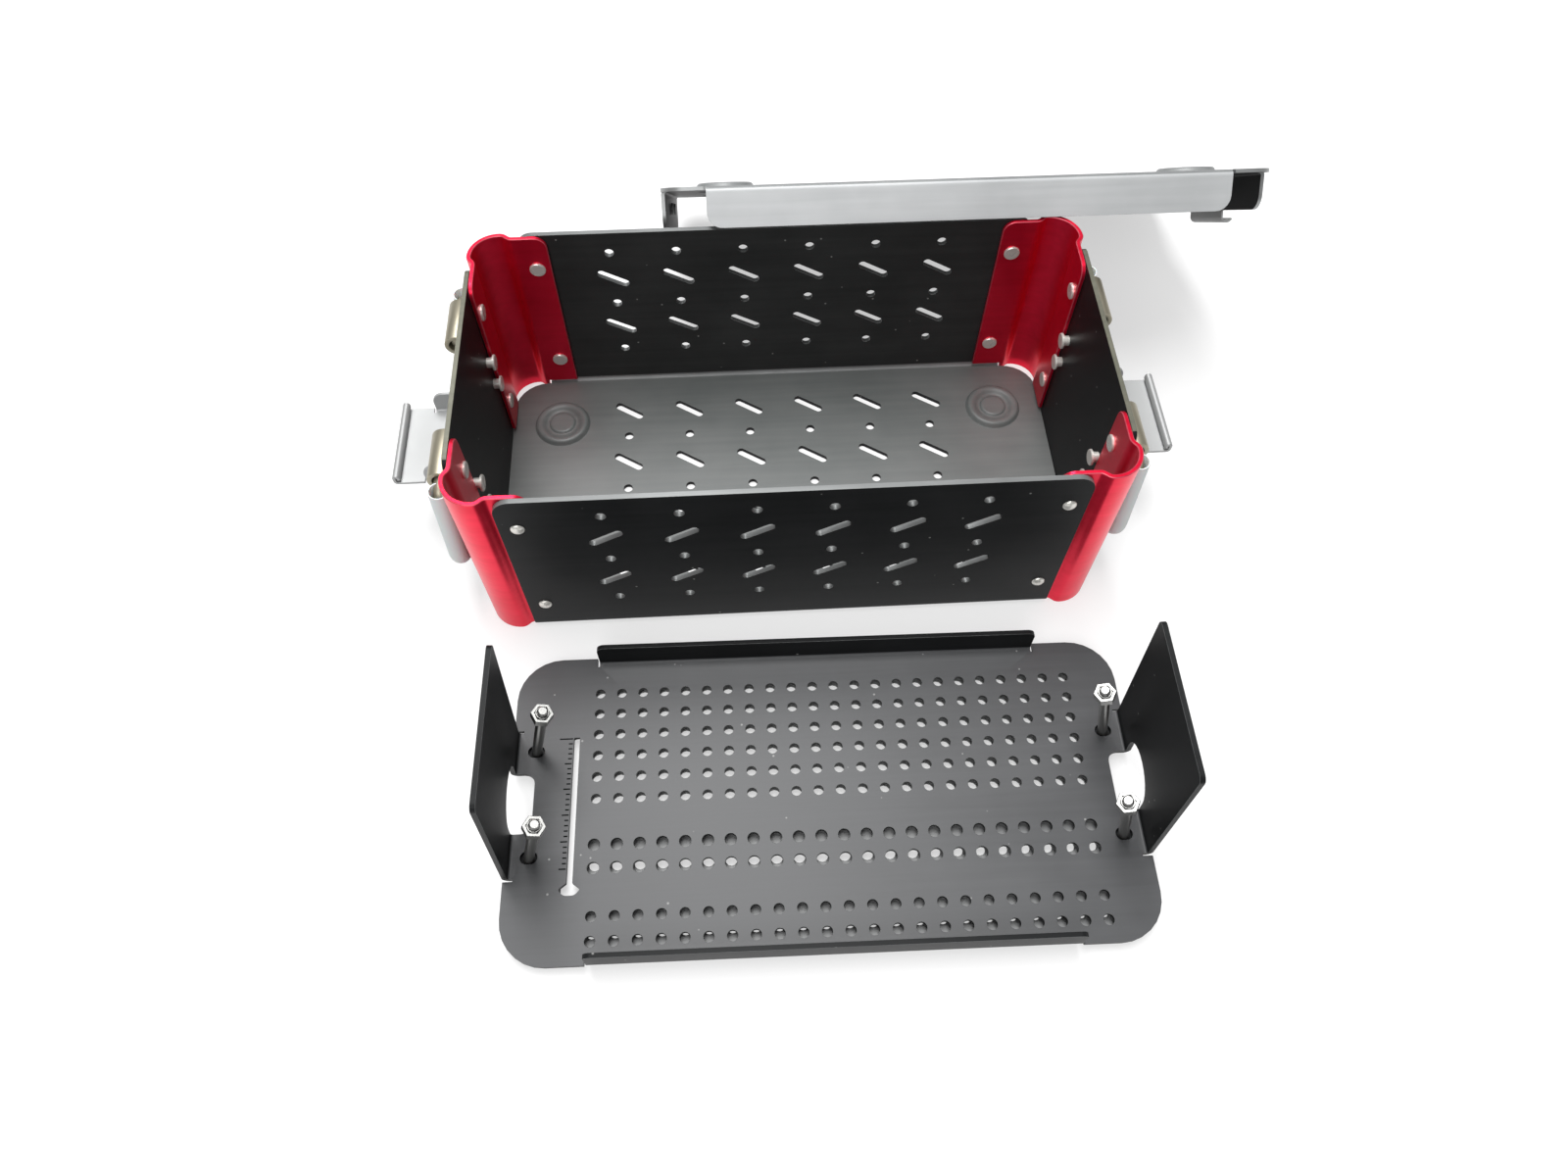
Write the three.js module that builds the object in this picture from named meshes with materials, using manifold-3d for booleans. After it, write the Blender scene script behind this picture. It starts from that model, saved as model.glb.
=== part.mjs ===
// Orthopedic instrument case: a perforated sheet case with red corner posts,
// a lift-off lid leaning on its rear wall and a lift-out screw rack in front.
// Millimetres, +Z up, +X to the right, the origin under the middle of the case floor.
import * as THREE from "three";
import { mergeVertices } from "three/addons/utils/BufferGeometryUtils.js";
import Module from "manifold-3d";

const wasm = await Module();
wasm.setup();

// Clearances and cuts
const SEAT_GAP = 0.1;
const EDGE_GAP = 0.3;
const CUT_OVERRUN = 1;
const WELD_DISTANCE = 0.0001;

// Case shell: one sheet bent up into a front wall, a floor and a rear wall
const SHELL_SHEET = 2;
const SHELL_DEPTH = 132;
const SHELL_HEIGHT = 88;
const SHELL_BEND_INSIDE = 2;
const WALL_CORNER_RADIUS = 7;
const CASE_INSIDE_LENGTH = 243;
const FLOOR_CORNER_RADIUS = 15;

// Perforation of the shell
const PERFORATION_COLUMNS = 6;
const COLUMN_END_MARGIN = 36.75;
const WALL_ROWS = 5;
const WALL_FIRST_ROW_DROP = 10.3;
const WALL_LAST_ROW_Z = 21.7;
const FLOOR_ROWS = 7;
const FLOOR_ROW_MARGIN = 22.5;
const PERFORATION_HOLE_RADIUS = 1.6;
const PERFORATION_SLOT_LENGTH = 12.5;
const PERFORATION_SLOT_WIDTH = 3;
const WALL_SLOT_TILT = 30;
const FLOOR_SLOT_TILT = 33;

// Round stacking rings pressed up into the floor and the lid
const RING_END_MARGIN = 22.5;
const RING_SIDE_MARGIN = 28.75;
const RING_RADIUS = 12.5;
const RING_SLOPE = 1.5;
const RING_RISE = 1.5;
const RING_DIMPLE_RADIUS = 5.5;

// End panels
const PANEL_SHEET = 1.8;
const PANEL_CORNER_RADIUS = 4;

// Corner posts
const POST_SHEET = 1.7;
const POST_BULGE_OUT = 0.2;
const POST_CORNER_RADIUS = 12.2;
const POST_STEP_RUN = 5.1;
const POST_STEP_GAP = 0.7;
const POST_WALL_OVERLAP = 12.5;
const POST_PANEL_OVERLAP = 13.8;
const POST_FLANGE_LIFT = 2.5;
const POST_FLANGE_CORNER_RADIUS = 5;

// Corner rivets
const RIVET_SHANK_RADIUS = 1.6;
const RIVET_HOLE_RADIUS = 1.9;
const RIVET_DOME_RADIUS = 2.6;
const RIVET_DOME_RISE = 1.3;
const COUNTERSINK_DEPTH = 1;
const RIVET_DISK_RADIUS = 3.3;
const RIVET_DISK_THICKNESS = 0.9;
const RIVET_HIGH_DROP = 16;
const RIVET_LOW_Z = 18;
const WALL_RIVET_EDGE = 6.8;
const PANEL_RIVET_EDGE = 9.2;

// Handle knuckles: strips riveted to the end panels and rolled round the handle wire
const KNUCKLE_STRIP = 1.7;
const KNUCKLE_AXIS_DROP = 17;
const KNUCKLE_RADIUS = 4.9;
const KNUCKLE_ROLL_LENGTH = 20.5;
const KNUCKLE_SIDE_MARGIN = 5.2;
const KNUCKLE_ROLL_DEGREES = 300;
const KNUCKLE_LEAF_WIDTH = 14;
const KNUCKLE_LEAF_IN = 8;
const KNUCKLE_LEAF_DROP = 38;
const KNUCKLE_NECK_DROP = 5;
const KNUCKLE_RIVET_PITCH = 13;
const KNUCKLE_RIVET_FOOT_EDGE = 6;
const KNUCKLE_RIVET_NECK_RADIUS = 2.1;
const KNUCKLE_RIVET_NECK_LENGTH = 2.6;

// Handle bails
const BAIL_WIRE_RADIUS = 2.3;
const BAIL_ARM_GAP = 3.3;
const BAIL_DROP = 47.8;
const BAIL_TOP_BEND_RADIUS = 4;
const BAIL_LOW_BEND_RADIUS = 10;
const BAIL_END_INSET = 1.5;
const SLEEVE_OUTER_RADIUS = 3.4;
const SLEEVE_BORE_RADIUS = 2.8;
const SLEEVE_TOP_DROP = 5.5;

// Latches
const LATCH_PIN_DROP = 25.5;
const LATCH_PIN_OUT = 4.2;
const LATCH_PIN_RADIUS = 1.5;
const LATCH_PIN_RUNNING_GAP = 0.1;
const LATCH_PIN_HEAD_RADIUS = 2.5;
const LATCH_PIN_HEAD_THICKNESS = 1;
const LATCH_SHEET = 1.2;
const LATCH_ROOM_SHARE = 0.736;
const LATCH_REACH = 30.1;
const LATCH_PLATE_DROP = 8;
const LATCH_CHEEK_REACH = 17;
const LATCH_LIP_RISE = 5.5;
const LATCH_LIP_RETURN = 2.4;
const LATCH_BASE_INSET = 3.3;
const LATCH_BASE_FOOT_DROP = 15.5;
const LATCH_BASE_TOP_RISE = 14.5;
const LATCH_LUG_REACH = 6.3;
const LATCH_LUG_HALF_HEIGHT = 4.3;

// Lid
const LID_SHEET = 1.5;
const LID_SIDE_GAP = 0.4;
const LID_DEPTH = 16;
const LID_LONG_FLANGE_MARGIN = 18.5;
const LID_END_FLANGE_MARGIN = 20.9;
const LID_CORNER_RADIUS = 17;
const LID_FLANGE_CORNER_RADIUS = 6;
const LID_SHIFT_X = 79;
const LID_HOOK_OVER_WALL = 1.4;
const LID_RIVET_DROP = 6;
const KEEPER_STRIP = 1.1;
const KEEPER_WIDTH = 35;
const KEEPER_TOP_DROP = 2;
const KEEPER_TROUGH_DROP = 19;
const KEEPER_TROUGH_RADIUS = 2.3;
const KEEPER_LIP_RISE = 1.6;
const KEEPER_RIVET_PITCH = 22;

// Screw rack: a folded upper plate on a smaller lower plate
const RACK_CENTRE_X = 7;
const RACK_STANDOFF = 20.6;
const RACK_YAW_DEGREES = -0.8;
const RACK_SHEET = 1.8;
const RACK_LENGTH = 234.6;
const RACK_DEPTH = 117.4;
const RACK_CORNER_RADIUS = 17;
const RACK_PLATE_GAP = 3;
const RACK_LONG_FLANGE_MARGIN = 31.3;
const RACK_LONG_FLANGE_HEIGHT = 12;
const RACK_FLANGE_CORNER_RADIUS = 3;
const RACK_FLAP_WIDTH = 56;
const RACK_FLAP_HEIGHT = 78;
const RACK_FLAP_LEAN_DEGREES = 5;
const RACK_FLAP_CORNER_RADIUS = 2.5;
const FINGER_HOLE_WIDTH = 23;
const FINGER_HOLE_IN = 7.2;
const FINGER_HOLE_CORNER_RADIUS = 4;
const FINGER_HOLE_UP = 18;

// Screw holes of the rack, from the rear row to the front row
const SCREW_COLUMNS = 23;
const SCREW_LEFT_MARGIN = 32.1;
const SCREW_RIGHT_MARGIN = 20.3;
const SMALL_SCREW_RADIUS = 1.75;
const LARGE_SCREW_RADIUS = 2.25;
const MEDIUM_SCREW_RADIUS = 1.95;
const SMALL_ROW_SHARES = [0.37, 0.2975, 0.225, 0.1525, 0.08, 0.0075];
const LARGE_ROW_SHARES = [-0.14, -0.213];
const MEDIUM_ROW_SHARES = [-0.359, -0.432];

// Screw length gauge cut in the rack
const GAUGE_MARGIN = 23.9;
const GAUGE_REAR_Y = 25.4;
const GAUGE_SLOT_WIDTH = 2.2;
const GAUGE_SLOT_LENGTH = 55.5;
const GAUGE_HEAD_WIDTH = 8;
const GAUGE_HEAD_LENGTH = 4.4;

// Lower plate of the rack
const LOWER_SHEET = 1.5;
const LOWER_END_INSET = 4.3;
const LOWER_SIDE_INSET = 4.2;
const LOWER_CORNER_RADIUS = 14;
const LOWER_NOTCH_WIDTH = 26;
const LOWER_NOTCH_DEPTH = 7.2;
const LOWER_WINDOW_WIDTH = 8;
const LOWER_WINDOW_MARGIN = 2;
const LOWER_HOLE_RADIUS = 1.7;
const LOWER_GUIDE_RADIUS = 2.1;
const LOWER_ROW_SHARES = [-0.193, -0.402];

// Studs and nuts of the rack
const STUD_RADIUS = 1.9;
const STUD_HOLE_RADIUS = 2.4;
const STUD_HOLE_STRETCH = 1.6;
const STUD_END_MARGIN = 7.5;
const STUD_SPACING_Y = 40.6;
const STUD_LENGTH = 46;
const STUD_COLLAR_RADIUS = 4;
const STUD_LEAN_DEGREES = 13.5;
const NUT_ACROSS_FLATS = 7;
const NUT_HEX_HEIGHT = 3.6;
const NUT_COLLAR_HEIGHT = 1.6;
const NUT_COLLAR_RADIUS = 3;
const NUT_TOP_INSET = 1.2;
const NUT_BORE_GAP = 0.15;

// Facets of round shapes
const HOLE_SIDES = 6;
const SCREW_HOLE_SIDES = 6;
const GUIDE_HOLE_SIDES = 4;
const SLOT_END_STEPS = 2;
const RIVET_SIDES = 8;
const RIVET_DOME_STEPS = 2;
const RING_SIDES = 16;
const WIRE_SIDES = 8;
const BEND_STEPS = 3;
const CORNER_STEPS = 4;
const ROLL_STEPS = 11;

// Places worked out from the sizes above
const FLOOR_LENGTH = CASE_INSIDE_LENGTH - 2 * EDGE_GAP;
const HALF_DEPTH = SHELL_DEPTH / 2;
const WALL_INSIDE_Y = HALF_DEPTH - SHELL_SHEET;
const PANEL_INSIDE_X = CASE_INSIDE_LENGTH / 2;
const PANEL_OUTSIDE_X = PANEL_INSIDE_X + PANEL_SHEET;
const POST_OUTSIDE_X = PANEL_OUTSIDE_X + POST_BULGE_OUT;
const POST_OUTSIDE_Y = HALF_DEPTH + POST_BULGE_OUT;
const POST_STEP_START = POST_CORNER_RADIUS + POST_STEP_RUN + POST_STEP_GAP;
const WALL_LENGTH = 2 * (POST_OUTSIDE_X - POST_STEP_START);
const PANEL_WIDTH = 2 * (POST_OUTSIDE_Y - POST_STEP_START);
const COLUMN_PITCH = (WALL_LENGTH - 2 * COLUMN_END_MARGIN) / (PERFORATION_COLUMNS - 1);
const WALL_ROW_PITCH = (SHELL_HEIGHT - WALL_FIRST_ROW_DROP - WALL_LAST_ROW_Z) / (WALL_ROWS - 1);
const FLOOR_ROW_PITCH = (SHELL_DEPTH - 2 * FLOOR_ROW_MARGIN) / (FLOOR_ROWS - 1);
const RING_PITCH_X = CASE_INSIDE_LENGTH - 2 * RING_END_MARGIN;
const RING_PITCH_Y = SHELL_DEPTH - 2 * RING_SIDE_MARGIN;
const RIVET_HIGH_Z = SHELL_HEIGHT - RIVET_HIGH_DROP;
const WALL_RIVET_X = WALL_LENGTH / 2 - WALL_RIVET_EDGE;
const PANEL_RIVET_Y = PANEL_WIDTH / 2 - PANEL_RIVET_EDGE;
const KNUCKLE_AXIS_X = PANEL_OUTSIDE_X + KNUCKLE_RADIUS;
const KNUCKLE_AXIS_Z = SHELL_HEIGHT - KNUCKLE_AXIS_DROP;
const KNUCKLE_ROLL_OUTER_Y = PANEL_WIDTH / 2 - KNUCKLE_SIDE_MARGIN;
const KNUCKLE_ROLL_INNER_Y = KNUCKLE_ROLL_OUTER_Y - KNUCKLE_ROLL_LENGTH;
const KNUCKLE_LEAF_Y = KNUCKLE_ROLL_INNER_Y + KNUCKLE_LEAF_IN;
const KNUCKLE_LEAF_FOOT_Z = KNUCKLE_AXIS_Z - KNUCKLE_LEAF_DROP;
const KNUCKLE_RIVET_LOW_Z = KNUCKLE_LEAF_FOOT_Z + KNUCKLE_RIVET_FOOT_EDGE;
const BAIL_ARM_Y = KNUCKLE_ROLL_OUTER_Y + BAIL_ARM_GAP + BAIL_WIRE_RADIUS;
const LATCH_PIN_X = PANEL_OUTSIDE_X + LATCH_PIN_OUT;
const LATCH_PIN_Z = KNUCKLE_AXIS_Z - LATCH_PIN_DROP;
const LATCH_ROOM = 2 * KNUCKLE_LEAF_Y - KNUCKLE_LEAF_WIDTH;
const LATCH_WIDTH = LATCH_ROOM_SHARE * LATCH_ROOM;
const LATCH_BASE_FOOT_Z = LATCH_PIN_Z - LATCH_BASE_FOOT_DROP;
const LATCH_BASE_HEIGHT = LATCH_BASE_FOOT_DROP + LATCH_BASE_TOP_RISE;
const LATCH_BASE_WIDTH = LATCH_WIDTH - 2 * LATCH_BASE_INSET;
const LID_INSIDE_Y = HALF_DEPTH + LID_SIDE_GAP;
const LID_OUTSIDE_Y = LID_INSIDE_Y + LID_SHEET;
const LID_INSIDE_X = PANEL_OUTSIDE_X + LID_SIDE_GAP;
const LID_OUTSIDE_X = LID_INSIDE_X + LID_SHEET;
const LID_LONG_FLANGE = 2 * (LID_OUTSIDE_X - LID_LONG_FLANGE_MARGIN);
const LID_END_FLANGE = 2 * (LID_OUTSIDE_Y - LID_END_FLANGE_MARGIN);
const RACK_CENTRE_Y = -POST_OUTSIDE_Y - RACK_STANDOFF - RACK_DEPTH / 2;
const RACK_BOTTOM_Z = LOWER_SHEET + RACK_PLATE_GAP;
const RACK_TOP_Z = RACK_BOTTOM_Z + RACK_SHEET;
const RACK_LONG_FLANGE = RACK_LENGTH - 2 * RACK_LONG_FLANGE_MARGIN;
const SCREW_LEFT_X = SCREW_LEFT_MARGIN - RACK_LENGTH / 2;
const SCREW_PITCH_X = (RACK_LENGTH - SCREW_LEFT_MARGIN - SCREW_RIGHT_MARGIN) / (SCREW_COLUMNS - 1);
const GAUGE_X = GAUGE_MARGIN - RACK_LENGTH / 2;
const LOWER_LENGTH = RACK_LENGTH - 2 * LOWER_END_INSET;
const LOWER_DEPTH = RACK_DEPTH - 2 * LOWER_SIDE_INSET;
const STUD_SPACING_X = RACK_LENGTH - 2 * STUD_END_MARGIN;
const DEGREE = Math.PI / 180;

// Materials
function metal(name, colour, roughness, metalness) {
  const material = new THREE.MeshStandardMaterial({ color: colour, roughness, metalness });
  material.name = name;
  material.flatShading = true;
  return material;
}
const BLACK = metal("black anodised aluminium", 0x2a2b2d, 0.45, 0.6);
const RED = metal("red anodised aluminium", 0xb3121f, 0.3, 0.7);
const STEEL = metal("satin stainless steel", 0xc9cbcc, 0.3, 1);
const NICKEL = metal("nickel plated steel", 0xb5ab92, 0.35, 1);
const SATIN = metal("satin grey anodised aluminium", 0xa9abad, 0.4, 0.7);
const SILICONE = metal("light grey silicone tube", 0xc3c9ca, 0.6, 0);

// Solids: three.js geometry to a closed body and back
function solidOf(geometry) {
  const soup = geometry.index ? geometry.toNonIndexed() : geometry;
  const bare = new THREE.BufferGeometry();
  bare.setAttribute("position", soup.getAttribute("position"));
  const merged = mergeVertices(bare, WELD_DISTANCE);
  const index = [];
  for (let i = 0; i < merged.index.count; i += 3) {
    const [a, b, c] = [0, 1, 2].map((k) => merged.index.getX(i + k));
    if (a !== b && b !== c && c !== a) index.push(a, b, c);
  }
  const vertProperties = new Float32Array(merged.attributes.position.array);
  const build = (triVerts) => {
    const mesh = new wasm.Mesh({ numProp: 3, vertProperties, triVerts: new Uint32Array(triVerts) });
    return new wasm.Manifold(mesh);
  };
  const solid = build(index);
  if (solid.volume() > 0) return solid;
  const turned = [];
  for (let i = 0; i < index.length; i += 3) turned.push(index[i], index[i + 2], index[i + 1]);
  return build(turned);
}

function joined(solids) {
  return solids.reduce((whole, next) => whole.add(next));
}

function moved(solid, matrix) {
  return solid.transform(matrix.elements);
}

function meshOf(name, solid, material) {
  const made = solid.getMesh();
  const positions = new Float32Array(made.numVert * 3);
  for (let i = 0; i < made.numVert; i += 1) {
    positions.set(made.vertProperties.subarray(i * made.numProp, i * made.numProp + 3), i * 3);
  }
  const geometry = new THREE.BufferGeometry();
  geometry.setAttribute("position", new THREE.BufferAttribute(positions, 3));
  geometry.setIndex(new THREE.BufferAttribute(made.triVerts, 1));
  geometry.computeVertexNormals();
  const mesh = new THREE.Mesh(geometry, material);
  mesh.name = name;
  return mesh;
}

// Outlines
function roundedRectangle(width, height, radius, centreX = 0, centreY = 0) {
  const points = [];
  const corners = [
    [1, 1, 0],
    [-1, 1, 1],
    [-1, -1, 2],
    [1, -1, 3],
  ];
  for (const [sx, sy, quarter] of corners) {
    for (let i = 0; i <= CORNER_STEPS; i += 1) {
      const angle = (quarter + i / CORNER_STEPS) * 90 * DEGREE;
      const x = centreX + sx * (width / 2 - radius) + radius * Math.cos(angle);
      const y = centreY + sy * (height / 2 - radius) + radius * Math.sin(angle);
      points.push(new THREE.Vector2(x, y));
    }
  }
  return points;
}

function circleOutline(x, y, radius, sides) {
  const points = [];
  for (let i = 0; i < sides; i += 1) {
    const angle = ((i + 0.5) * 360 * DEGREE) / sides;
    points.push(new THREE.Vector2(x + radius * Math.cos(angle), y + radius * Math.sin(angle)));
  }
  return points;
}

function slotOutline(x, y, length, width, tiltDegrees) {
  const points = [];
  const tilt = tiltDegrees * DEGREE;
  for (const side of [0, 1]) {
    const reach = (side === 0 ? 1 : -1) * (length / 2 - width / 2);
    for (let i = 0; i <= SLOT_END_STEPS; i += 1) {
      const angle = (side * 180 - 90 + (180 * i) / SLOT_END_STEPS) * DEGREE;
      const along = reach + (width / 2) * Math.cos(angle);
      const across = (width / 2) * Math.sin(angle);
      const px = x + along * Math.cos(tilt) - across * Math.sin(tilt);
      const py = y + along * Math.sin(tilt) + across * Math.cos(tilt);
      points.push(new THREE.Vector2(px, py));
    }
  }
  return points;
}

function prism(outline, thickness, holes = []) {
  const shape = new THREE.Shape(outline);
  for (const hole of holes) shape.holes.push(new THREE.Path(hole));
  return new THREE.ExtrudeGeometry(shape, { depth: thickness, bevelEnabled: false });
}

// A prism drawn in X and Z that grows from the plane y towards the rear
function standingPrism(outline, y, thickness, holes = []) {
  const geometry = prism(outline, thickness, holes);
  geometry.rotateX(90 * DEGREE);
  geometry.translate(0, y + thickness, 0);
  return solidOf(geometry);
}

// A prism drawn in Y and Z that grows from the plane x to the right
function sidePrism(outline, x, thickness, holes = []) {
  const geometry = prism(outline, thickness, holes);
  geometry.rotateX(90 * DEGREE);
  geometry.rotateZ(90 * DEGREE);
  geometry.translate(x, 0, 0);
  return solidOf(geometry);
}

function flatPrism(outline, z, thickness, holes = []) {
  const geometry = prism(outline, thickness, holes);
  geometry.translate(0, 0, z);
  return solidOf(geometry);
}

function turnedAlongZ(profile, sides) {
  const points = profile.map(([radius, height]) => new THREE.Vector2(radius, height));
  const geometry = new THREE.LatheGeometry(points, sides);
  geometry.rotateX(90 * DEGREE);
  return solidOf(geometry);
}

// Turns a body made along +Z so that its axis points along +X, and moves it
function placedAlongX(solid, x, y, z) {
  const matrix = new THREE.Matrix4().makeRotationY(90 * DEGREE);
  matrix.setPosition(x, y, z);
  return moved(solid, matrix);
}

function placedAlongY(solid, x, y, z) {
  const matrix = new THREE.Matrix4().makeRotationX(-90 * DEGREE);
  matrix.setPosition(x, y, z);
  return moved(solid, matrix);
}

function mirroredTo(solid, sideX, sideY) {
  let result = solid;
  if (sideX < 0) result = result.mirror([1, 0, 0]);
  if (sideY < 0) result = result.mirror([0, 1, 0]);
  return result;
}

// A strip of even thickness along a drawn centre line
function stripOutline(line, thickness) {
  const left = [];
  const right = [];
  line.forEach((point, i) => {
    const before = line[Math.max(i - 1, 0)];
    const after = line[Math.min(i + 1, line.length - 1)];
    const along = after.clone().sub(before).normalize();
    const normal = new THREE.Vector2(-along.y, along.x).multiplyScalar(thickness / 2);
    left.push(point.clone().add(normal));
    right.push(point.clone().sub(normal));
  });
  return [...right, ...left.reverse()];
}

function arcPoints(centreX, centreY, radius, fromDegrees, toDegrees, steps) {
  const points = [];
  for (let i = 0; i <= steps; i += 1) {
    const angle = (fromDegrees + ((toDegrees - fromDegrees) * i) / steps) * DEGREE;
    points.push(new THREE.Vector2(centreX + radius * Math.cos(angle), centreY + radius * Math.sin(angle)));
  }
  return points;
}

// A path that visits its own points, so that a bend keeps its corners
class PointPath extends THREE.Curve {
  constructor(points) {
    super();
    this.points = points;
  }
  getPoint(t, target = new THREE.Vector3()) {
    const last = this.points.length - 1;
    return target.copy(this.points[Math.round(t * last)]);
  }
  getSpacedPoints() {
    return this.points.map((point) => point.clone());
  }
  getTangentAt(u, target = new THREE.Vector3()) {
    const last = this.points.length - 1;
    const i = Math.round(u * last);
    const before = this.points[Math.max(i - 1, 0)];
    const after = this.points[Math.min(i + 1, last)];
    return target.copy(after).sub(before).normalize();
  }
}

function tubeAlong(points, outerRadius, boreRadius) {
  const shape = new THREE.Shape(circleOutline(0, 0, outerRadius, WIRE_SIDES));
  if (boreRadius > 0) shape.holes.push(new THREE.Path(circleOutline(0, 0, boreRadius, WIRE_SIDES)));
  const extrudePath = new PointPath(points);
  return solidOf(new THREE.ExtrudeGeometry(shape, { steps: points.length - 1, extrudePath }));
}

// Perforation shared by the walls and the floor: rows alternate holes and slots
function perforation(rows, firstRow, rowPitch, slotRowParity, tiltDegrees) {
  const holes = [];
  for (let row = 0; row < rows; row += 1) {
    for (let column = 0; column < PERFORATION_COLUMNS; column += 1) {
      const x = (column - (PERFORATION_COLUMNS - 1) / 2) * COLUMN_PITCH;
      const y = firstRow - row * rowPitch;
      if (row % 2 === slotRowParity) {
        holes.push(slotOutline(x, y, PERFORATION_SLOT_LENGTH, PERFORATION_SLOT_WIDTH, tiltDegrees));
      } else {
        holes.push(circleOutline(x, y, PERFORATION_HOLE_RADIUS, HOLE_SIDES));
      }
    }
  }
  return holes;
}

// The pressed ring, as one solid to add above a sheet and one to take from below it
function ringPressing(sheet, radius) {
  const inner = radius - RING_SLOPE;
  const dimple = RING_DIMPLE_RADIUS;
  const top = sheet + RING_RISE;
  const raised = [
    [0, sheet / 2],
    [radius, sheet / 2],
    [radius, sheet],
    [inner, top],
    [dimple + RING_SLOPE, top],
    [dimple, sheet],
    [0, sheet],
  ];
  const recess = [
    [dimple + RING_SLOPE, -CUT_OVERRUN],
    [inner, -CUT_OVERRUN],
    [inner, 0],
    [inner - RING_SLOPE, RING_RISE],
    [dimple + 2 * RING_SLOPE, RING_RISE],
    [dimple + RING_SLOPE, 0],
    [dimple + RING_SLOPE, -CUT_OVERRUN],
  ];
  return { raised: turnedAlongZ(raised, RING_SIDES), recess: turnedAlongZ(recess, RING_SIDES) };
}

function pressRings(sheetSolid, sheet, baseZ) {
  const { raised, recess } = ringPressing(sheet, RING_RADIUS);
  let result = sheetSolid;
  for (const sx of [-1, 1]) {
    for (const sy of [-1, 1]) {
      const place = new THREE.Matrix4().makeTranslation((sx * RING_PITCH_X) / 2, (sy * RING_PITCH_Y) / 2, baseZ);
      result = result.add(moved(raised, place)).subtract(moved(recess, place));
    }
  }
  return result;
}

// Case shell
function caseWall(y, tiltDegrees) {
  const bend = SHELL_SHEET + SHELL_BEND_INSIDE;
  const half = WALL_LENGTH / 2;
  const r = WALL_CORNER_RADIUS;
  const outline = [
    new THREE.Vector2(-half, bend),
    new THREE.Vector2(half, bend),
    ...arcPoints(half - r, SHELL_HEIGHT - r, r, 0, 90, CORNER_STEPS),
    ...arcPoints(-half + r, SHELL_HEIGHT - r, r, 90, 180, CORNER_STEPS),
  ];
  const firstRow = SHELL_HEIGHT - WALL_FIRST_ROW_DROP;
  const holes = perforation(WALL_ROWS, firstRow, WALL_ROW_PITCH, 1, tiltDegrees);
  for (const x of [-WALL_RIVET_X, WALL_RIVET_X]) {
    for (const z of [RIVET_LOW_Z, RIVET_HIGH_Z]) holes.push(circleOutline(x, z, RIVET_HOLE_RADIUS, HOLE_SIDES));
  }
  return standingPrism(outline, y, SHELL_SHEET, holes);
}

function caseBend(side) {
  const outer = SHELL_SHEET + SHELL_BEND_INSIDE;
  const centreY = HALF_DEPTH - outer;
  const outline = [
    ...arcPoints(centreY, outer, outer, -90, 0, BEND_STEPS),
    ...arcPoints(centreY, outer, SHELL_BEND_INSIDE, 0, -90, BEND_STEPS),
  ];
  return mirroredTo(sidePrism(outline, -WALL_LENGTH / 2, WALL_LENGTH), 1, side);
}

function caseFloor() {
  const bendY = HALF_DEPTH - SHELL_SHEET - SHELL_BEND_INSIDE;
  const outline = roundedRectangle(FLOOR_LENGTH, 2 * WALL_INSIDE_Y, FLOOR_CORNER_RADIUS);
  const firstRow = ((FLOOR_ROWS - 1) / 2) * FLOOR_ROW_PITCH;
  const holes = perforation(FLOOR_ROWS, firstRow, FLOOR_ROW_PITCH, 0, -FLOOR_SLOT_TILT);
  let floor = flatPrism(outline, 0, SHELL_SHEET, holes);
  for (const side of [-1, 1]) {
    const depth = HALF_DEPTH - bendY + CUT_OVERRUN;
    const strip = new THREE.BoxGeometry(WALL_LENGTH, depth, SHELL_SHEET * 2);
    strip.translate(0, side * (bendY + depth / 2), SHELL_SHEET / 2);
    floor = floor.subtract(solidOf(strip));
  }
  return floor;
}

function caseShell() {
  const walls = [caseWall(-HALF_DEPTH, WALL_SLOT_TILT), caseWall(WALL_INSIDE_Y, -WALL_SLOT_TILT)];
  const shell = joined([caseFloor(), ...walls, caseBend(1), caseBend(-1)]);
  return meshOf("case_shell", pressRings(shell, SHELL_SHEET, 0), BLACK);
}

// End panels, with countersunk holes under the handle knuckles
function countersinkCut() {
  const mouth = RIVET_DOME_RADIUS + EDGE_GAP;
  return turnedAlongZ(
    [
      [0, -PANEL_SHEET - CUT_OVERRUN],
      [RIVET_HOLE_RADIUS, -PANEL_SHEET - CUT_OVERRUN],
      [RIVET_HOLE_RADIUS, -COUNTERSINK_DEPTH],
      [mouth, 0],
      [mouth, CUT_OVERRUN],
      [0, CUT_OVERRUN],
    ],
    RIVET_SIDES,
  );
}

function endPanel(side, name) {
  const outline = roundedRectangle(PANEL_WIDTH, SHELL_HEIGHT, PANEL_CORNER_RADIUS, 0, SHELL_HEIGHT / 2);
  const holes = [];
  const countersinks = [];
  for (const sy of [-1, 1]) {
    for (const z of [RIVET_LOW_Z, RIVET_HIGH_Z]) {
      countersinks.push(placedAlongX(countersinkCut(), PANEL_OUTSIDE_X, sy * PANEL_RIVET_Y, z));
    }
    for (const z of [KNUCKLE_RIVET_LOW_Z, KNUCKLE_RIVET_LOW_Z + KNUCKLE_RIVET_PITCH]) {
      const radius = KNUCKLE_RIVET_NECK_RADIUS + EDGE_GAP;
      holes.push(circleOutline(sy * KNUCKLE_LEAF_Y, z, radius, RIVET_SIDES));
    }
  }
  const sheet = sidePrism(outline, PANEL_INSIDE_X, PANEL_SHEET, holes);
  const panel = sheet.subtract(joined(countersinks));
  return meshOf(name, mirroredTo(panel, side, 1), BLACK);
}

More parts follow.
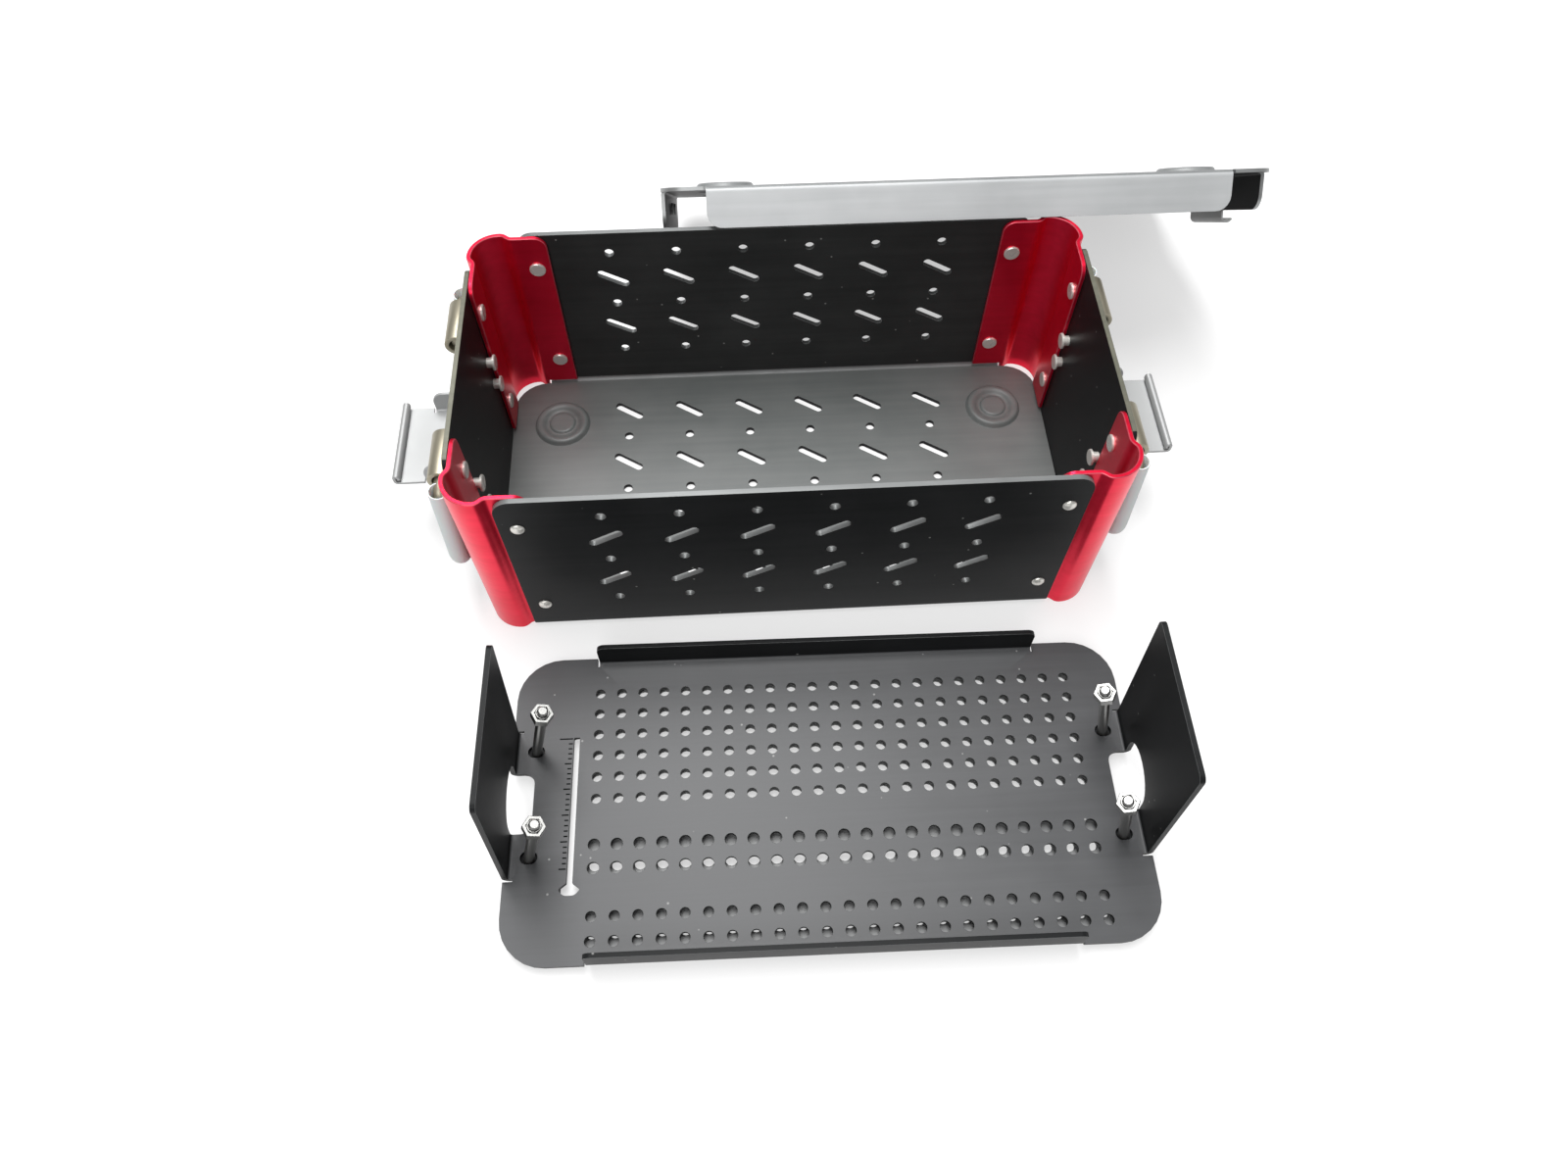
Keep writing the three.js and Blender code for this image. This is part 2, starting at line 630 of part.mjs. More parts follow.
// Corner posts: a flange inside the wall, a step out, a round corner, a step in
// and a flange inside the end panel
function easedStep(fromAlong, fromAcross, toAlong, toAcross) {
  const points = [];
  for (let i = 0; i < CORNER_STEPS; i += 1) {
    const share = i / CORNER_STEPS;
    const eased = (1 - Math.cos(share * Math.PI)) / 2;
    points.push([fromAlong + (toAlong - fromAlong) * share, fromAcross + (toAcross - fromAcross) * eased]);
  }
  return points;
}

function postLine() {
  const half = POST_SHEET / 2;
  const flangeY = WALL_INSIDE_Y - SEAT_GAP - half;
  const flangeX = PANEL_INSIDE_X - SEAT_GAP - half;
  const bulgeY = POST_OUTSIDE_Y - half;
  const bulgeX = POST_OUTSIDE_X - half;
  const radius = POST_CORNER_RADIUS - half;
  const wallStep = WALL_LENGTH / 2 + POST_STEP_GAP;
  const panelStep = PANEL_WIDTH / 2 + POST_STEP_GAP;
  const stepOut = easedStep(wallStep, flangeY, wallStep + POST_STEP_RUN, bulgeY);
  const stepIn = easedStep(panelStep, flangeX, panelStep + POST_STEP_RUN, bulgeX);
  return [
    new THREE.Vector2(WALL_LENGTH / 2 - POST_WALL_OVERLAP, flangeY),
    ...stepOut.map(([x, y]) => new THREE.Vector2(x, y)),
    ...arcPoints(bulgeX - radius, bulgeY - radius, radius, 90, 0, 2 * CORNER_STEPS),
    ...stepIn.reverse().map(([y, x]) => new THREE.Vector2(x, y)),
    new THREE.Vector2(flangeX, PANEL_WIDTH / 2 - POST_PANEL_OVERLAP),
  ];
}

// The side view of a flange with its upper free corner rounded, from free end to corner
function postFlangeSide(freeEnd, reach) {
  const r = POST_FLANGE_CORNER_RADIUS;
  return [
    new THREE.Vector2(freeEnd, -CUT_OVERRUN),
    new THREE.Vector2(reach + CUT_OVERRUN, -CUT_OVERRUN),
    new THREE.Vector2(reach + CUT_OVERRUN, SHELL_HEIGHT + CUT_OVERRUN),
    new THREE.Vector2(freeEnd + r, SHELL_HEIGHT + CUT_OVERRUN),
    ...arcPoints(freeEnd + r, SHELL_HEIGHT - r, r, 90, 180, BEND_STEPS),
  ];
}

function cornerPost(sideX, sideY, name) {
  const flangeZ = SHELL_SHEET + POST_FLANGE_LIFT;
  const outline = stripOutline(postLine(), POST_SHEET);
  let post = flatPrism(outline, 0, SHELL_HEIGHT);
  const keepX = POST_OUTSIDE_X - POST_CORNER_RADIUS;
  const keepY = POST_OUTSIDE_Y - POST_CORNER_RADIUS;
  const toe = new THREE.BoxGeometry(keepX, SHELL_DEPTH, 2 * flangeZ);
  toe.translate(keepX / 2, HALF_DEPTH, 0);
  const heel = new THREE.BoxGeometry(SHELL_DEPTH, keepY, 2 * flangeZ);
  heel.translate(PANEL_INSIDE_X, keepY / 2, 0);
  post = post.subtract(solidOf(toe)).subtract(solidOf(heel));
  const wallSide = postFlangeSide(WALL_LENGTH / 2 - POST_WALL_OVERLAP, POST_OUTSIDE_X);
  const panelSide = postFlangeSide(PANEL_WIDTH / 2 - POST_PANEL_OVERLAP, POST_OUTSIDE_Y);
  post = post.intersect(standingPrism(wallSide, 0, POST_OUTSIDE_Y + CUT_OVERRUN));
  post = post.intersect(sidePrism(panelSide, 0, POST_OUTSIDE_X + CUT_OVERRUN));
  for (const z of [RIVET_LOW_Z, RIVET_HIGH_Z]) {
    const drill = flatPrism(circleOutline(0, 0, RIVET_HOLE_RADIUS, HOLE_SIDES), 0, 2 * POST_CORNER_RADIUS);
    post = post.subtract(placedAlongY(drill, WALL_RIVET_X, HALF_DEPTH - POST_CORNER_RADIUS, z));
    post = post.subtract(placedAlongX(drill, PANEL_INSIDE_X - POST_CORNER_RADIUS, PANEL_RIVET_Y, z));
  }
  return meshOf(name, mirroredTo(post, sideX, sideY), RED);
}

// Rivets, made along +Z with the outer head at the top and a flat disk inside
function rivetStem(grip, diskRadius, shankRadius) {
  return [
    [0, -grip - RIVET_DISK_THICKNESS],
    [diskRadius, -grip - RIVET_DISK_THICKNESS],
    [diskRadius, -grip],
    [shankRadius, -grip],
  ];
}

function domedRivet(grip, diskRadius, shankRadius) {
  const profile = [...rivetStem(grip, diskRadius, shankRadius), [shankRadius, 0], [RIVET_DOME_RADIUS, 0]];
  for (let i = 1; i < RIVET_DOME_STEPS; i += 1) {
    const angle = (i / RIVET_DOME_STEPS) * 90 * DEGREE;
    profile.push([RIVET_DOME_RADIUS * Math.cos(angle), RIVET_DOME_RISE * Math.sin(angle)]);
  }
  profile.push([0, RIVET_DOME_RISE]);
  return turnedAlongZ(profile, RIVET_SIDES);
}

// A flush rivet leaves room for the handle knuckle that is rolled over it
function flushRivet(grip, diskRadius, shankRadius) {
  const stem = rivetStem(grip, diskRadius, shankRadius);
  const head = [
    [shankRadius, -COUNTERSINK_DEPTH],
    [RIVET_DOME_RADIUS, 0],
    [0, 0],
  ];
  return turnedAlongZ([...stem, ...head], RIVET_SIDES);
}

function cornerRivets() {
  const meshes = [];
  const ends = { left: -1, right: 1 };
  const fronts = { front: -1, rear: 1 };
  const heights = { low: RIVET_LOW_Z, high: RIVET_HIGH_Z };
  const wallGrip = SHELL_SHEET + SEAT_GAP + POST_SHEET;
  const panelGrip = PANEL_SHEET + SEAT_GAP + POST_SHEET;
  for (const [end, sx] of Object.entries(ends)) {
    for (const [front, sy] of Object.entries(fronts)) {
      for (const [height, z] of Object.entries(heights)) {
        const wall = domedRivet(wallGrip, RIVET_DISK_RADIUS, RIVET_SHANK_RADIUS);
        const inWall = mirroredTo(placedAlongY(wall, WALL_RIVET_X, HALF_DEPTH, z), sx, sy);
        meshes.push(meshOf(["wall_rivet", front, end, height].join("_"), inWall, STEEL));
        const panel = flushRivet(panelGrip, RIVET_DISK_RADIUS, RIVET_SHANK_RADIUS);
        const inPanel = mirroredTo(placedAlongX(panel, PANEL_OUTSIDE_X, PANEL_RIVET_Y, z), sx, sy);
        meshes.push(meshOf(["panel_rivet", front, end, height].join("_"), inPanel, STEEL));
      }
    }
  }
  return meshes;
}

// Handle knuckle: leaf, roll and its two rivets in one piece
function handleKnuckle(sideX, sideY, name) {
  const middle = KNUCKLE_RADIUS - KNUCKLE_STRIP / 2;
  const neck = KNUCKLE_AXIS_Z - KNUCKLE_NECK_DROP;
  const line = [
    new THREE.Vector2(KNUCKLE_AXIS_X - middle, neck),
    ...arcPoints(KNUCKLE_AXIS_X, KNUCKLE_AXIS_Z, middle, 180, 180 - KNUCKLE_ROLL_DEGREES, ROLL_STEPS),
  ];
  const outline = stripOutline(line, KNUCKLE_STRIP);
  const roll = standingPrism(outline, KNUCKLE_ROLL_INNER_Y, KNUCKLE_ROLL_LENGTH);
  const leafHeight = neck + KNUCKLE_STRIP - KNUCKLE_LEAF_FOOT_Z;
  const leaf = new THREE.BoxGeometry(KNUCKLE_STRIP, KNUCKLE_LEAF_WIDTH, leafHeight);
  leaf.translate(PANEL_OUTSIDE_X + KNUCKLE_STRIP / 2, KNUCKLE_LEAF_Y, KNUCKLE_LEAF_FOOT_Z + leafHeight / 2);
  const parts = [roll, solidOf(leaf)];
  const grip = PANEL_SHEET + KNUCKLE_STRIP + KNUCKLE_RIVET_NECK_LENGTH;
  for (const z of [KNUCKLE_RIVET_LOW_Z, KNUCKLE_RIVET_LOW_Z + KNUCKLE_RIVET_PITCH]) {
    const rivet = domedRivet(grip, RIVET_DISK_RADIUS, KNUCKLE_RIVET_NECK_RADIUS);
    parts.push(placedAlongX(rivet, PANEL_OUTSIDE_X + KNUCKLE_STRIP - SEAT_GAP, KNUCKLE_LEAF_Y, z));
  }
  return meshOf(name, mirroredTo(joined(parts), sideX, sideY), NICKEL);
}

// Bail: wire and sleeve share one drawn half, from the knuckle round to the middle
function bailHalf(fromTop) {
  const top = BAIL_TOP_BEND_RADIUS;
  const low = BAIL_LOW_BEND_RADIUS;
  const lowZ = KNUCKLE_AXIS_Z - BAIL_DROP;
  const arm = arcPoints(BAIL_ARM_Y - top, KNUCKLE_AXIS_Z - top, top, 90, 0, BEND_STEPS);
  const corner = arcPoints(BAIL_ARM_Y - low, lowZ + low, low, 0, -90, BEND_STEPS);
  const start = fromTop
    ? [new THREE.Vector2(KNUCKLE_ROLL_INNER_Y + BAIL_END_INSET, KNUCKLE_AXIS_Z), ...arm]
    : [new THREE.Vector2(BAIL_ARM_Y, KNUCKLE_AXIS_Z - SLEEVE_TOP_DROP)];
  return [...start, ...corner];
}

function bailPoints(fromTop) {
  const half = bailHalf(fromTop);
  const other = half.map((point) => new THREE.Vector2(-point.x, point.y)).reverse();
  return [...half, ...other].map((point) => new THREE.Vector3(KNUCKLE_AXIS_X, point.x, point.y));
}

function bailWire(side, name) {
  return meshOf(name, mirroredTo(tubeAlong(bailPoints(true), BAIL_WIRE_RADIUS, 0), side, 1), NICKEL);
}

function bailSleeve(side, name) {
  const sleeve = tubeAlong(bailPoints(false), SLEEVE_OUTER_RADIUS, SLEEVE_BORE_RADIUS);
  return meshOf(name, mirroredTo(sleeve, side, 1), SILICONE);
}

// Latch: a base with two lugs, a pin and a lever with cheeks and a hooked lip
function latchBase(side, name) {
  const plate = new THREE.BoxGeometry(LATCH_SHEET, LATCH_BASE_WIDTH, LATCH_BASE_HEIGHT);
  plate.translate(PANEL_OUTSIDE_X + LATCH_SHEET / 2, 0, LATCH_BASE_FOOT_Z + LATCH_BASE_HEIGHT / 2);
  const tipX = PANEL_OUTSIDE_X + LATCH_PIN_OUT + LATCH_LUG_REACH - LATCH_LUG_HALF_HEIGHT;
  const radius = LATCH_LUG_HALF_HEIGHT;
  const outline = [
    new THREE.Vector2(PANEL_OUTSIDE_X, LATCH_PIN_Z - radius),
    ...arcPoints(tipX, LATCH_PIN_Z, radius, -90, 90, 2 * BEND_STEPS),
    new THREE.Vector2(PANEL_OUTSIDE_X, LATCH_PIN_Z + radius),
  ];
  const bore = circleOutline(LATCH_PIN_X, LATCH_PIN_Z, pinBoreRadius(), RIVET_SIDES);
  const parts = [solidOf(plate)];
  for (const sy of [-1, 1]) {
    const inner = LATCH_BASE_WIDTH / 2 - LATCH_SHEET;
    parts.push(mirroredTo(standingPrism(outline, inner, LATCH_SHEET, [bore]), 1, sy));
  }
  return meshOf(name, mirroredTo(joined(parts), side, 1), STEEL);
}

function pinBoreRadius() {
  return (LATCH_PIN_RADIUS + LATCH_PIN_RUNNING_GAP) / Math.cos((180 * DEGREE) / RIVET_SIDES);
}

function latchPin(side, name) {
  const head = LATCH_WIDTH / 2 + SEAT_GAP;
  const end = head + LATCH_PIN_HEAD_THICKNESS;
  const profile = [
    [0, -end],
    [LATCH_PIN_HEAD_RADIUS, -end],
    [LATCH_PIN_HEAD_RADIUS, -head],
    [LATCH_PIN_RADIUS, -head],
    [LATCH_PIN_RADIUS, head],
    [LATCH_PIN_HEAD_RADIUS, head],
    [LATCH_PIN_HEAD_RADIUS, end],
    [0, end],
  ];
  const pin = placedAlongY(turnedAlongZ(profile, RIVET_SIDES), LATCH_PIN_X, 0, LATCH_PIN_Z);
  return meshOf(name, mirroredTo(pin, side, 1), STEEL);
}

function latchLever(side, name) {
  const under = LATCH_PIN_Z - LATCH_PLATE_DROP;
  const end = LATCH_PIN_X + LATCH_REACH;
  const heel = PANEL_OUTSIDE_X + LATCH_SHEET + EDGE_GAP;
  const heelRadius = LATCH_PIN_X - heel;
  const half = LATCH_SHEET / 2;
  const lipTop = under + LATCH_LIP_RISE;
  const lipRadius = LATCH_LIP_RETURN / 2;
  const plateLine = [
    new THREE.Vector2(heel, under + half),
    new THREE.Vector2(end - half - lipRadius, under + half),
    ...arcPoints(end - half - lipRadius, under + half + lipRadius, lipRadius, -60, 0, 2),
    ...arcPoints(end - half - lipRadius, lipTop - half - lipRadius, lipRadius, 0, 180, 2 * BEND_STEPS),
  ];
  const plate = stripOutline(plateLine, LATCH_SHEET);
  const parts = [standingPrism(plate, -LATCH_WIDTH / 2, LATCH_WIDTH)];
  const cheekEnd = LATCH_PIN_X + LATCH_CHEEK_REACH;
  const top = LATCH_PIN_Z + heelRadius;
  const round = heelRadius;
  const cheek = [
    new THREE.Vector2(heel, under + half),
    new THREE.Vector2(cheekEnd, under + half),
    ...arcPoints(cheekEnd - round, top - round, round, 0, 90, BEND_STEPS),
    ...arcPoints(LATCH_PIN_X, LATCH_PIN_Z, heelRadius, 90, 180, BEND_STEPS),
  ];
  const bore = circleOutline(LATCH_PIN_X, LATCH_PIN_Z, pinBoreRadius(), RIVET_SIDES);
  for (const sy of [-1, 1]) {
    const inner = LATCH_WIDTH / 2 - LATCH_SHEET;
    parts.push(mirroredTo(standingPrism(cheek, inner, LATCH_SHEET, [bore]), 1, sy));
  }
  return meshOf(name, mirroredTo(joined(parts), side, 1), STEEL);
}

// Lid, made closed and level with its underside at z = 0, then leaned on the case
function lidFlange(length, outer, thickness, side, alongX, rivetHoles) {
  const r = LID_FLANGE_CORNER_RADIUS;
  const low = LID_SHEET - LID_DEPTH;
  const outline = [
    ...arcPoints(-length / 2 + r, low + r, r, 180, 270, CORNER_STEPS),
    ...arcPoints(length / 2 - r, low + r, r, 270, 360, CORNER_STEPS),
    new THREE.Vector2(length / 2, LID_SHEET / 2),
    new THREE.Vector2(-length / 2, LID_SHEET / 2),
  ];
  const flange = alongX
    ? standingPrism(outline, outer - thickness, thickness, rivetHoles)
    : sidePrism(outline, outer - thickness, thickness, rivetHoles);
  return alongX ? mirroredTo(flange, 1, side) : mirroredTo(flange, side, 1);
}

function lidShell() {
  const outline = roundedRectangle(2 * LID_OUTSIDE_X, 2 * LID_OUTSIDE_Y, LID_CORNER_RADIUS);
  const holes = [];
  for (const sy of [-1, 1]) {
    const y = (sy * KEEPER_RIVET_PITCH) / 2;
    holes.push(circleOutline(y, -LID_RIVET_DROP, RIVET_HOLE_RADIUS, HOLE_SIDES));
  }
  const parts = [flatPrism(outline, 0, LID_SHEET)];
  for (const side of [-1, 1]) {
    parts.push(lidFlange(LID_LONG_FLANGE, LID_OUTSIDE_Y, LID_SHEET, side, true, []));
    parts.push(lidFlange(LID_END_FLANGE, LID_OUTSIDE_X, LID_SHEET, side, false, holes));
  }
  return pressRings(joined(parts), LID_SHEET, 0);
}

function lidKeeper(side) {
  const half = KEEPER_STRIP / 2;
  const radius = KEEPER_TROUGH_RADIUS;
  const innerX = LID_OUTSIDE_X + SEAT_GAP + half;
  const troughZ = -KEEPER_TROUGH_DROP + half + radius;
  const line = [
    new THREE.Vector2(innerX, -KEEPER_TOP_DROP),
    ...arcPoints(innerX + radius, troughZ, radius, 180, 360, 2 * BEND_STEPS),
    new THREE.Vector2(innerX + 2 * radius, troughZ + KEEPER_LIP_RISE),
  ];
  const strip = standingPrism(stripOutline(line, KEEPER_STRIP), -KEEPER_WIDTH / 2, KEEPER_WIDTH);
  const parts = [strip];
  for (const sy of [-1, 1]) {
    const rivet = domedRivet(LID_SHEET + KEEPER_STRIP, RIVET_DOME_RADIUS, RIVET_SHANK_RADIUS);
    const x = LID_OUTSIDE_X + KEEPER_STRIP;
    parts.push(placedAlongX(rivet, x, (sy * KEEPER_RIVET_PITCH) / 2, -LID_RIVET_DROP));
  }
  return mirroredTo(joined(parts), side, 1);
}

// The far flange stands on the ground and the near one on the rear wall's top edge
function lidPlace() {
  const low = LID_SHEET - LID_DEPTH;
  const restZ = SHELL_HEIGHT + EDGE_GAP;
  const restY = WALL_INSIDE_Y + LID_HOOK_OVER_WALL - SHELL_SHEET / 2;
  const lean = Math.asin((restZ - SEAT_GAP) / (LID_INSIDE_Y + LID_OUTSIDE_Y));
  const z = SEAT_GAP + LID_OUTSIDE_Y * Math.sin(lean) - low * Math.cos(lean);
  const y = restY + LID_INSIDE_Y * Math.cos(lean) - low * Math.sin(lean);
  return { lean, y, z };
}

function leaningLid() {
  const { lean, y, z } = lidPlace();
  const group = new THREE.Group();
  group.position.set(LID_SHIFT_X, y, z);
  group.rotation.x = -lean;
  group.add(meshOf("lid_shell", lidShell(), SATIN));
  group.add(meshOf("lid_keeper_left", lidKeeper(-1), STEEL));
  group.add(meshOf("lid_keeper_right", lidKeeper(1), STEEL));
  return group;
}

// Screw rack
function screwRows() {
  return [
    ...rowsAt(SMALL_ROW_SHARES, SMALL_SCREW_RADIUS),
    ...rowsAt(LARGE_ROW_SHARES, LARGE_SCREW_RADIUS),
    ...rowsAt(MEDIUM_ROW_SHARES, MEDIUM_SCREW_RADIUS),
  ];
}

// Rows of holes at shares of the plate's depth, measured from its middle
function rowsAt(shares, radius) {
  return shares.map((share) => [share * RACK_DEPTH, radius]);
}

function screwHoles(rows, sides) {
  const holes = [];
  for (const [y, radius] of rows) {
    for (let column = 0; column < SCREW_COLUMNS; column += 1) {
      holes.push(circleOutline(SCREW_LEFT_X + column * SCREW_PITCH_X, y, radius, sides));
    }
  }
  return holes;
}

// The gauge is a narrow slot that opens into a screw head's outline at the front
function gaugeOutline() {
  const half = GAUGE_SLOT_WIDTH / 2;
  const headHalf = GAUGE_HEAD_WIDTH / 2;
  const front = GAUGE_REAR_Y - GAUGE_SLOT_LENGTH;
  const headFront = front - GAUGE_HEAD_LENGTH;
  const headMiddle = (front + headFront) / 2;
  const right = [
    new THREE.Vector2(GAUGE_X + half, GAUGE_REAR_Y),
    new THREE.Vector2(GAUGE_X + half, front),
    new THREE.Vector2(GAUGE_X + headHalf, headMiddle),
    new THREE.Vector2(GAUGE_X + headHalf / 2, headFront),
  ];
  const left = right.map((point) => new THREE.Vector2(2 * GAUGE_X - point.x, point.y));
  return [...right, ...left.reverse()];
}

function studPlaces() {
  const places = [];
  for (const [end, sx] of Object.entries({ left: -1, right: 1 })) {
    for (const [front, sy] of Object.entries({ front: -1, rear: 1 })) {
      places.push({ name: `${front}_${end}`, sx, x: (sx * STUD_SPACING_X) / 2, y: (sy * STUD_SPACING_Y) / 2 });
    }
  }
  return places;
}

// Where a leaning stud crosses a given height
function studCrossing(place, z) {
  return place.x - place.sx * z * Math.tan(STUD_LEAN_DEGREES * DEGREE);
}

function studHoles() {
  const length = 2 * STUD_HOLE_RADIUS + STUD_HOLE_STRETCH;
  const middle = RACK_BOTTOM_Z + RACK_SHEET / 2;
  return studPlaces().map((place) => {
    return slotOutline(studCrossing(place, middle), place.y, length, 2 * STUD_HOLE_RADIUS, 0);
  });
}

function fingerHoleInPlate(side) {
  const inner = RACK_LENGTH / 2 - RACK_SHEET - FINGER_HOLE_IN;
  const outer = RACK_LENGTH / 2 + CUT_OVERRUN;
  const half = FINGER_HOLE_WIDTH / 2;
  const round = FINGER_HOLE_CORNER_RADIUS;
  const outline = [
    new THREE.Vector2(outer, -half),
    new THREE.Vector2(outer, half),
    ...arcPoints(inner + round, half - round, round, 90, 180, BEND_STEPS),
    ...arcPoints(inner + round, round - half, round, 180, 270, BEND_STEPS),
  ];
  const cut = flatPrism(outline, RACK_BOTTOM_Z - CUT_OVERRUN, RACK_SHEET + 2 * CUT_OVERRUN);
  return mirroredTo(cut, side, 1);
}

function rackFlap(side) {
  const low = RACK_BOTTOM_Z;
  const top = RACK_BOTTOM_Z + RACK_FLAP_HEIGHT;
  const half = RACK_FLAP_WIDTH / 2;
  const r = RACK_FLAP_CORNER_RADIUS;
  const outline = [
    new THREE.Vector2(-half, low),
    new THREE.Vector2(half, low),
    ...arcPoints(half - r, top - r, r, 0, 90, BEND_STEPS),
    ...arcPoints(r - half, top - r, r, 90, 180, BEND_STEPS),
  ];
  const flap = sidePrism(outline, RACK_LENGTH / 2 - RACK_SHEET, RACK_SHEET);
  const round = Math.min(FINGER_HOLE_UP, FINGER_HOLE_WIDTH / 2);
  const holeTop = RACK_TOP_Z + FINGER_HOLE_UP;
  const holeHalf = FINGER_HOLE_WIDTH / 2;
  const hole = [
    new THREE.Vector2(-holeHalf, low - CUT_OVERRUN),
    new THREE.Vector2(holeHalf, low - CUT_OVERRUN),
    ...arcPoints(holeHalf - round, holeTop - round, round, 0, 90, BEND_STEPS),
    ...arcPoints(round - holeHalf, holeTop - round, round, 90, 180, BEND_STEPS),
  ];
  const cutX = RACK_LENGTH / 2 - RACK_SHEET - CUT_OVERRUN;
  const cut = sidePrism(hole, cutX, RACK_SHEET + 2 * CUT_OVERRUN);
  return mirroredTo(moved(flap.subtract(cut), flapLean()), side, 1);
}

// The flaps lean inwards about their lower outer edge
function flapLean() {
  const fold = new THREE.Matrix4().makeTranslation(RACK_LENGTH / 2, 0, RACK_BOTTOM_Z);
  const lean = new THREE.Matrix4().makeRotationY(-RACK_FLAP_LEAN_DEGREES * DEGREE);
  return fold.clone().multiply(lean).multiply(fold.clone().invert());
}

function rackLongFlange(side) {
  const half = RACK_LONG_FLANGE / 2;
  const r = RACK_FLANGE_CORNER_RADIUS;
  const top = RACK_TOP_Z + RACK_LONG_FLANGE_HEIGHT;
  const outline = [
    new THREE.Vector2(-half, RACK_BOTTOM_Z),
    new THREE.Vector2(half, RACK_BOTTOM_Z),
    ...arcPoints(half - r, top - r, r, 0, 90, BEND_STEPS),
    ...arcPoints(r - half, top - r, r, 90, 180, BEND_STEPS),
  ];
  return mirroredTo(standingPrism(outline, RACK_DEPTH / 2 - RACK_SHEET, RACK_SHEET), 1, side);
}

function rackUpperPlate() {
  const outline = roundedRectangle(RACK_LENGTH, RACK_DEPTH, RACK_CORNER_RADIUS);
  const holes = [...screwHoles(screwRows(), SCREW_HOLE_SIDES), gaugeOutline(), ...studHoles()];
  let plate = flatPrism(outline, RACK_BOTTOM_Z, RACK_SHEET, holes);
  for (const side of [-1, 1]) plate = plate.subtract(fingerHoleInPlate(side));
  const folds = [rackFlap(-1), rackFlap(1), rackLongFlange(-1), rackLongFlange(1)];
  return meshOf("rack_upper_plate", joined([plate, ...folds]), BLACK);
}

// The window in the lower plate under the gauge
function gaugeWindow() {
  const length = GAUGE_SLOT_LENGTH + GAUGE_HEAD_LENGTH + 2 * LOWER_WINDOW_MARGIN;
  const middle = GAUGE_REAR_Y + LOWER_WINDOW_MARGIN - length / 2;
  return slotOutline(GAUGE_X, middle, length, LOWER_WINDOW_WIDTH, 90);
}

// The lower plate has a matching hole under each small one and two rows of its own
function rackLowerPlate() {
  const outline = roundedRectangle(LOWER_LENGTH, LOWER_DEPTH, LOWER_CORNER_RADIUS);
  const rows = [...rowsAt(SMALL_ROW_SHARES, LOWER_GUIDE_RADIUS), ...rowsAt(LOWER_ROW_SHARES, LOWER_HOLE_RADIUS)];
  const holes = [...screwHoles(rows, GUIDE_HOLE_SIDES), gaugeWindow()];
  for (const place of studPlaces()) {
    holes.push(circleOutline(studCrossing(place, LOWER_SHEET / 2), place.y, STUD_HOLE_RADIUS, RIVET_SIDES));
  }
  const punches = holes.map((hole) => flatPrism(hole, -CUT_OVERRUN, LOWER_SHEET + 2 * CUT_OVERRUN));
  let plate = flatPrism(outline, 0, LOWER_SHEET).subtract(joined(punches));
  for (const side of [-1, 1]) {
    const notch = new THREE.BoxGeometry(2 * LOWER_NOTCH_DEPTH, LOWER_NOTCH_WIDTH, 4 * LOWER_SHEET);
    notch.translate((side * LOWER_LENGTH) / 2, 0, 0);
    plate = plate.subtract(solidOf(notch));
  }
  return meshOf("rack_lower_plate", plate, BLACK);
}

// A stud leans inwards through both plates; its collar holds the plates apart
function studLean(place) {
  const matrix = new THREE.Matrix4().makeRotationY(-place.sx * STUD_LEAN_DEGREES * DEGREE);
  matrix.setPosition(place.x, place.y, 0);
  return matrix;
}

function rackStud(place) {
  const rod = new THREE.CylinderGeometry(STUD_RADIUS, STUD_RADIUS, STUD_LENGTH + STUD_RADIUS, RIVET_SIDES);
  rod.rotateX(90 * DEGREE);
  rod.translate(0, 0, (STUD_LENGTH - STUD_RADIUS) / 2);
  const leaning = moved(solidOf(rod), studLean(place));
  const ground = new THREE.BoxGeometry(STUD_LENGTH, STUD_LENGTH, 2 * STUD_LENGTH);
  ground.translate(place.x, place.y, SEAT_GAP - STUD_LENGTH);
  const collarHeight = RACK_PLATE_GAP - 2 * SEAT_GAP;
  const collar = new THREE.CylinderGeometry(STUD_COLLAR_RADIUS, STUD_COLLAR_RADIUS, collarHeight, RIVET_SIDES);
  collar.rotateX(90 * DEGREE);
  collar.translate(place.x, place.y, LOWER_SHEET + RACK_PLATE_GAP / 2);
  const stud = leaning.subtract(solidOf(ground)).add(solidOf(collar));
  return meshOf(`rack_stud_${place.name}`, stud, STEEL);
}

function rackNut(place) {
  const corner = NUT_ACROSS_FLATS / Math.sqrt(3);
  const hexBottom = STUD_LENGTH - NUT_TOP_INSET - NUT_HEX_HEIGHT - NUT_COLLAR_HEIGHT;
  const hex = new THREE.CylinderGeometry(corner, corner, NUT_HEX_HEIGHT, 6);
  hex.rotateX(90 * DEGREE);
  hex.translate(0, 0, hexBottom + NUT_HEX_HEIGHT / 2);
  const collar = new THREE.CylinderGeometry(NUT_COLLAR_RADIUS, NUT_COLLAR_RADIUS, NUT_COLLAR_HEIGHT * 2, RIVET_SIDES);
  collar.rotateX(90 * DEGREE);
  collar.translate(0, 0, hexBottom + NUT_HEX_HEIGHT);
  const boreRadius = (STUD_RADIUS + NUT_BORE_GAP) / Math.cos((180 * DEGREE) / RIVET_SIDES);
  const bore = new THREE.CylinderGeometry(boreRadius, boreRadius, STUD_LENGTH, RIVET_SIDES);
  bore.rotateX(90 * DEGREE);
  bore.translate(0, 0, STUD_LENGTH);
  const nut = solidOf(hex).add(solidOf(collar)).subtract(solidOf(bore));
  return meshOf(`rack_nut_${place.name}`, moved(nut, studLean(place)), STEEL);
}

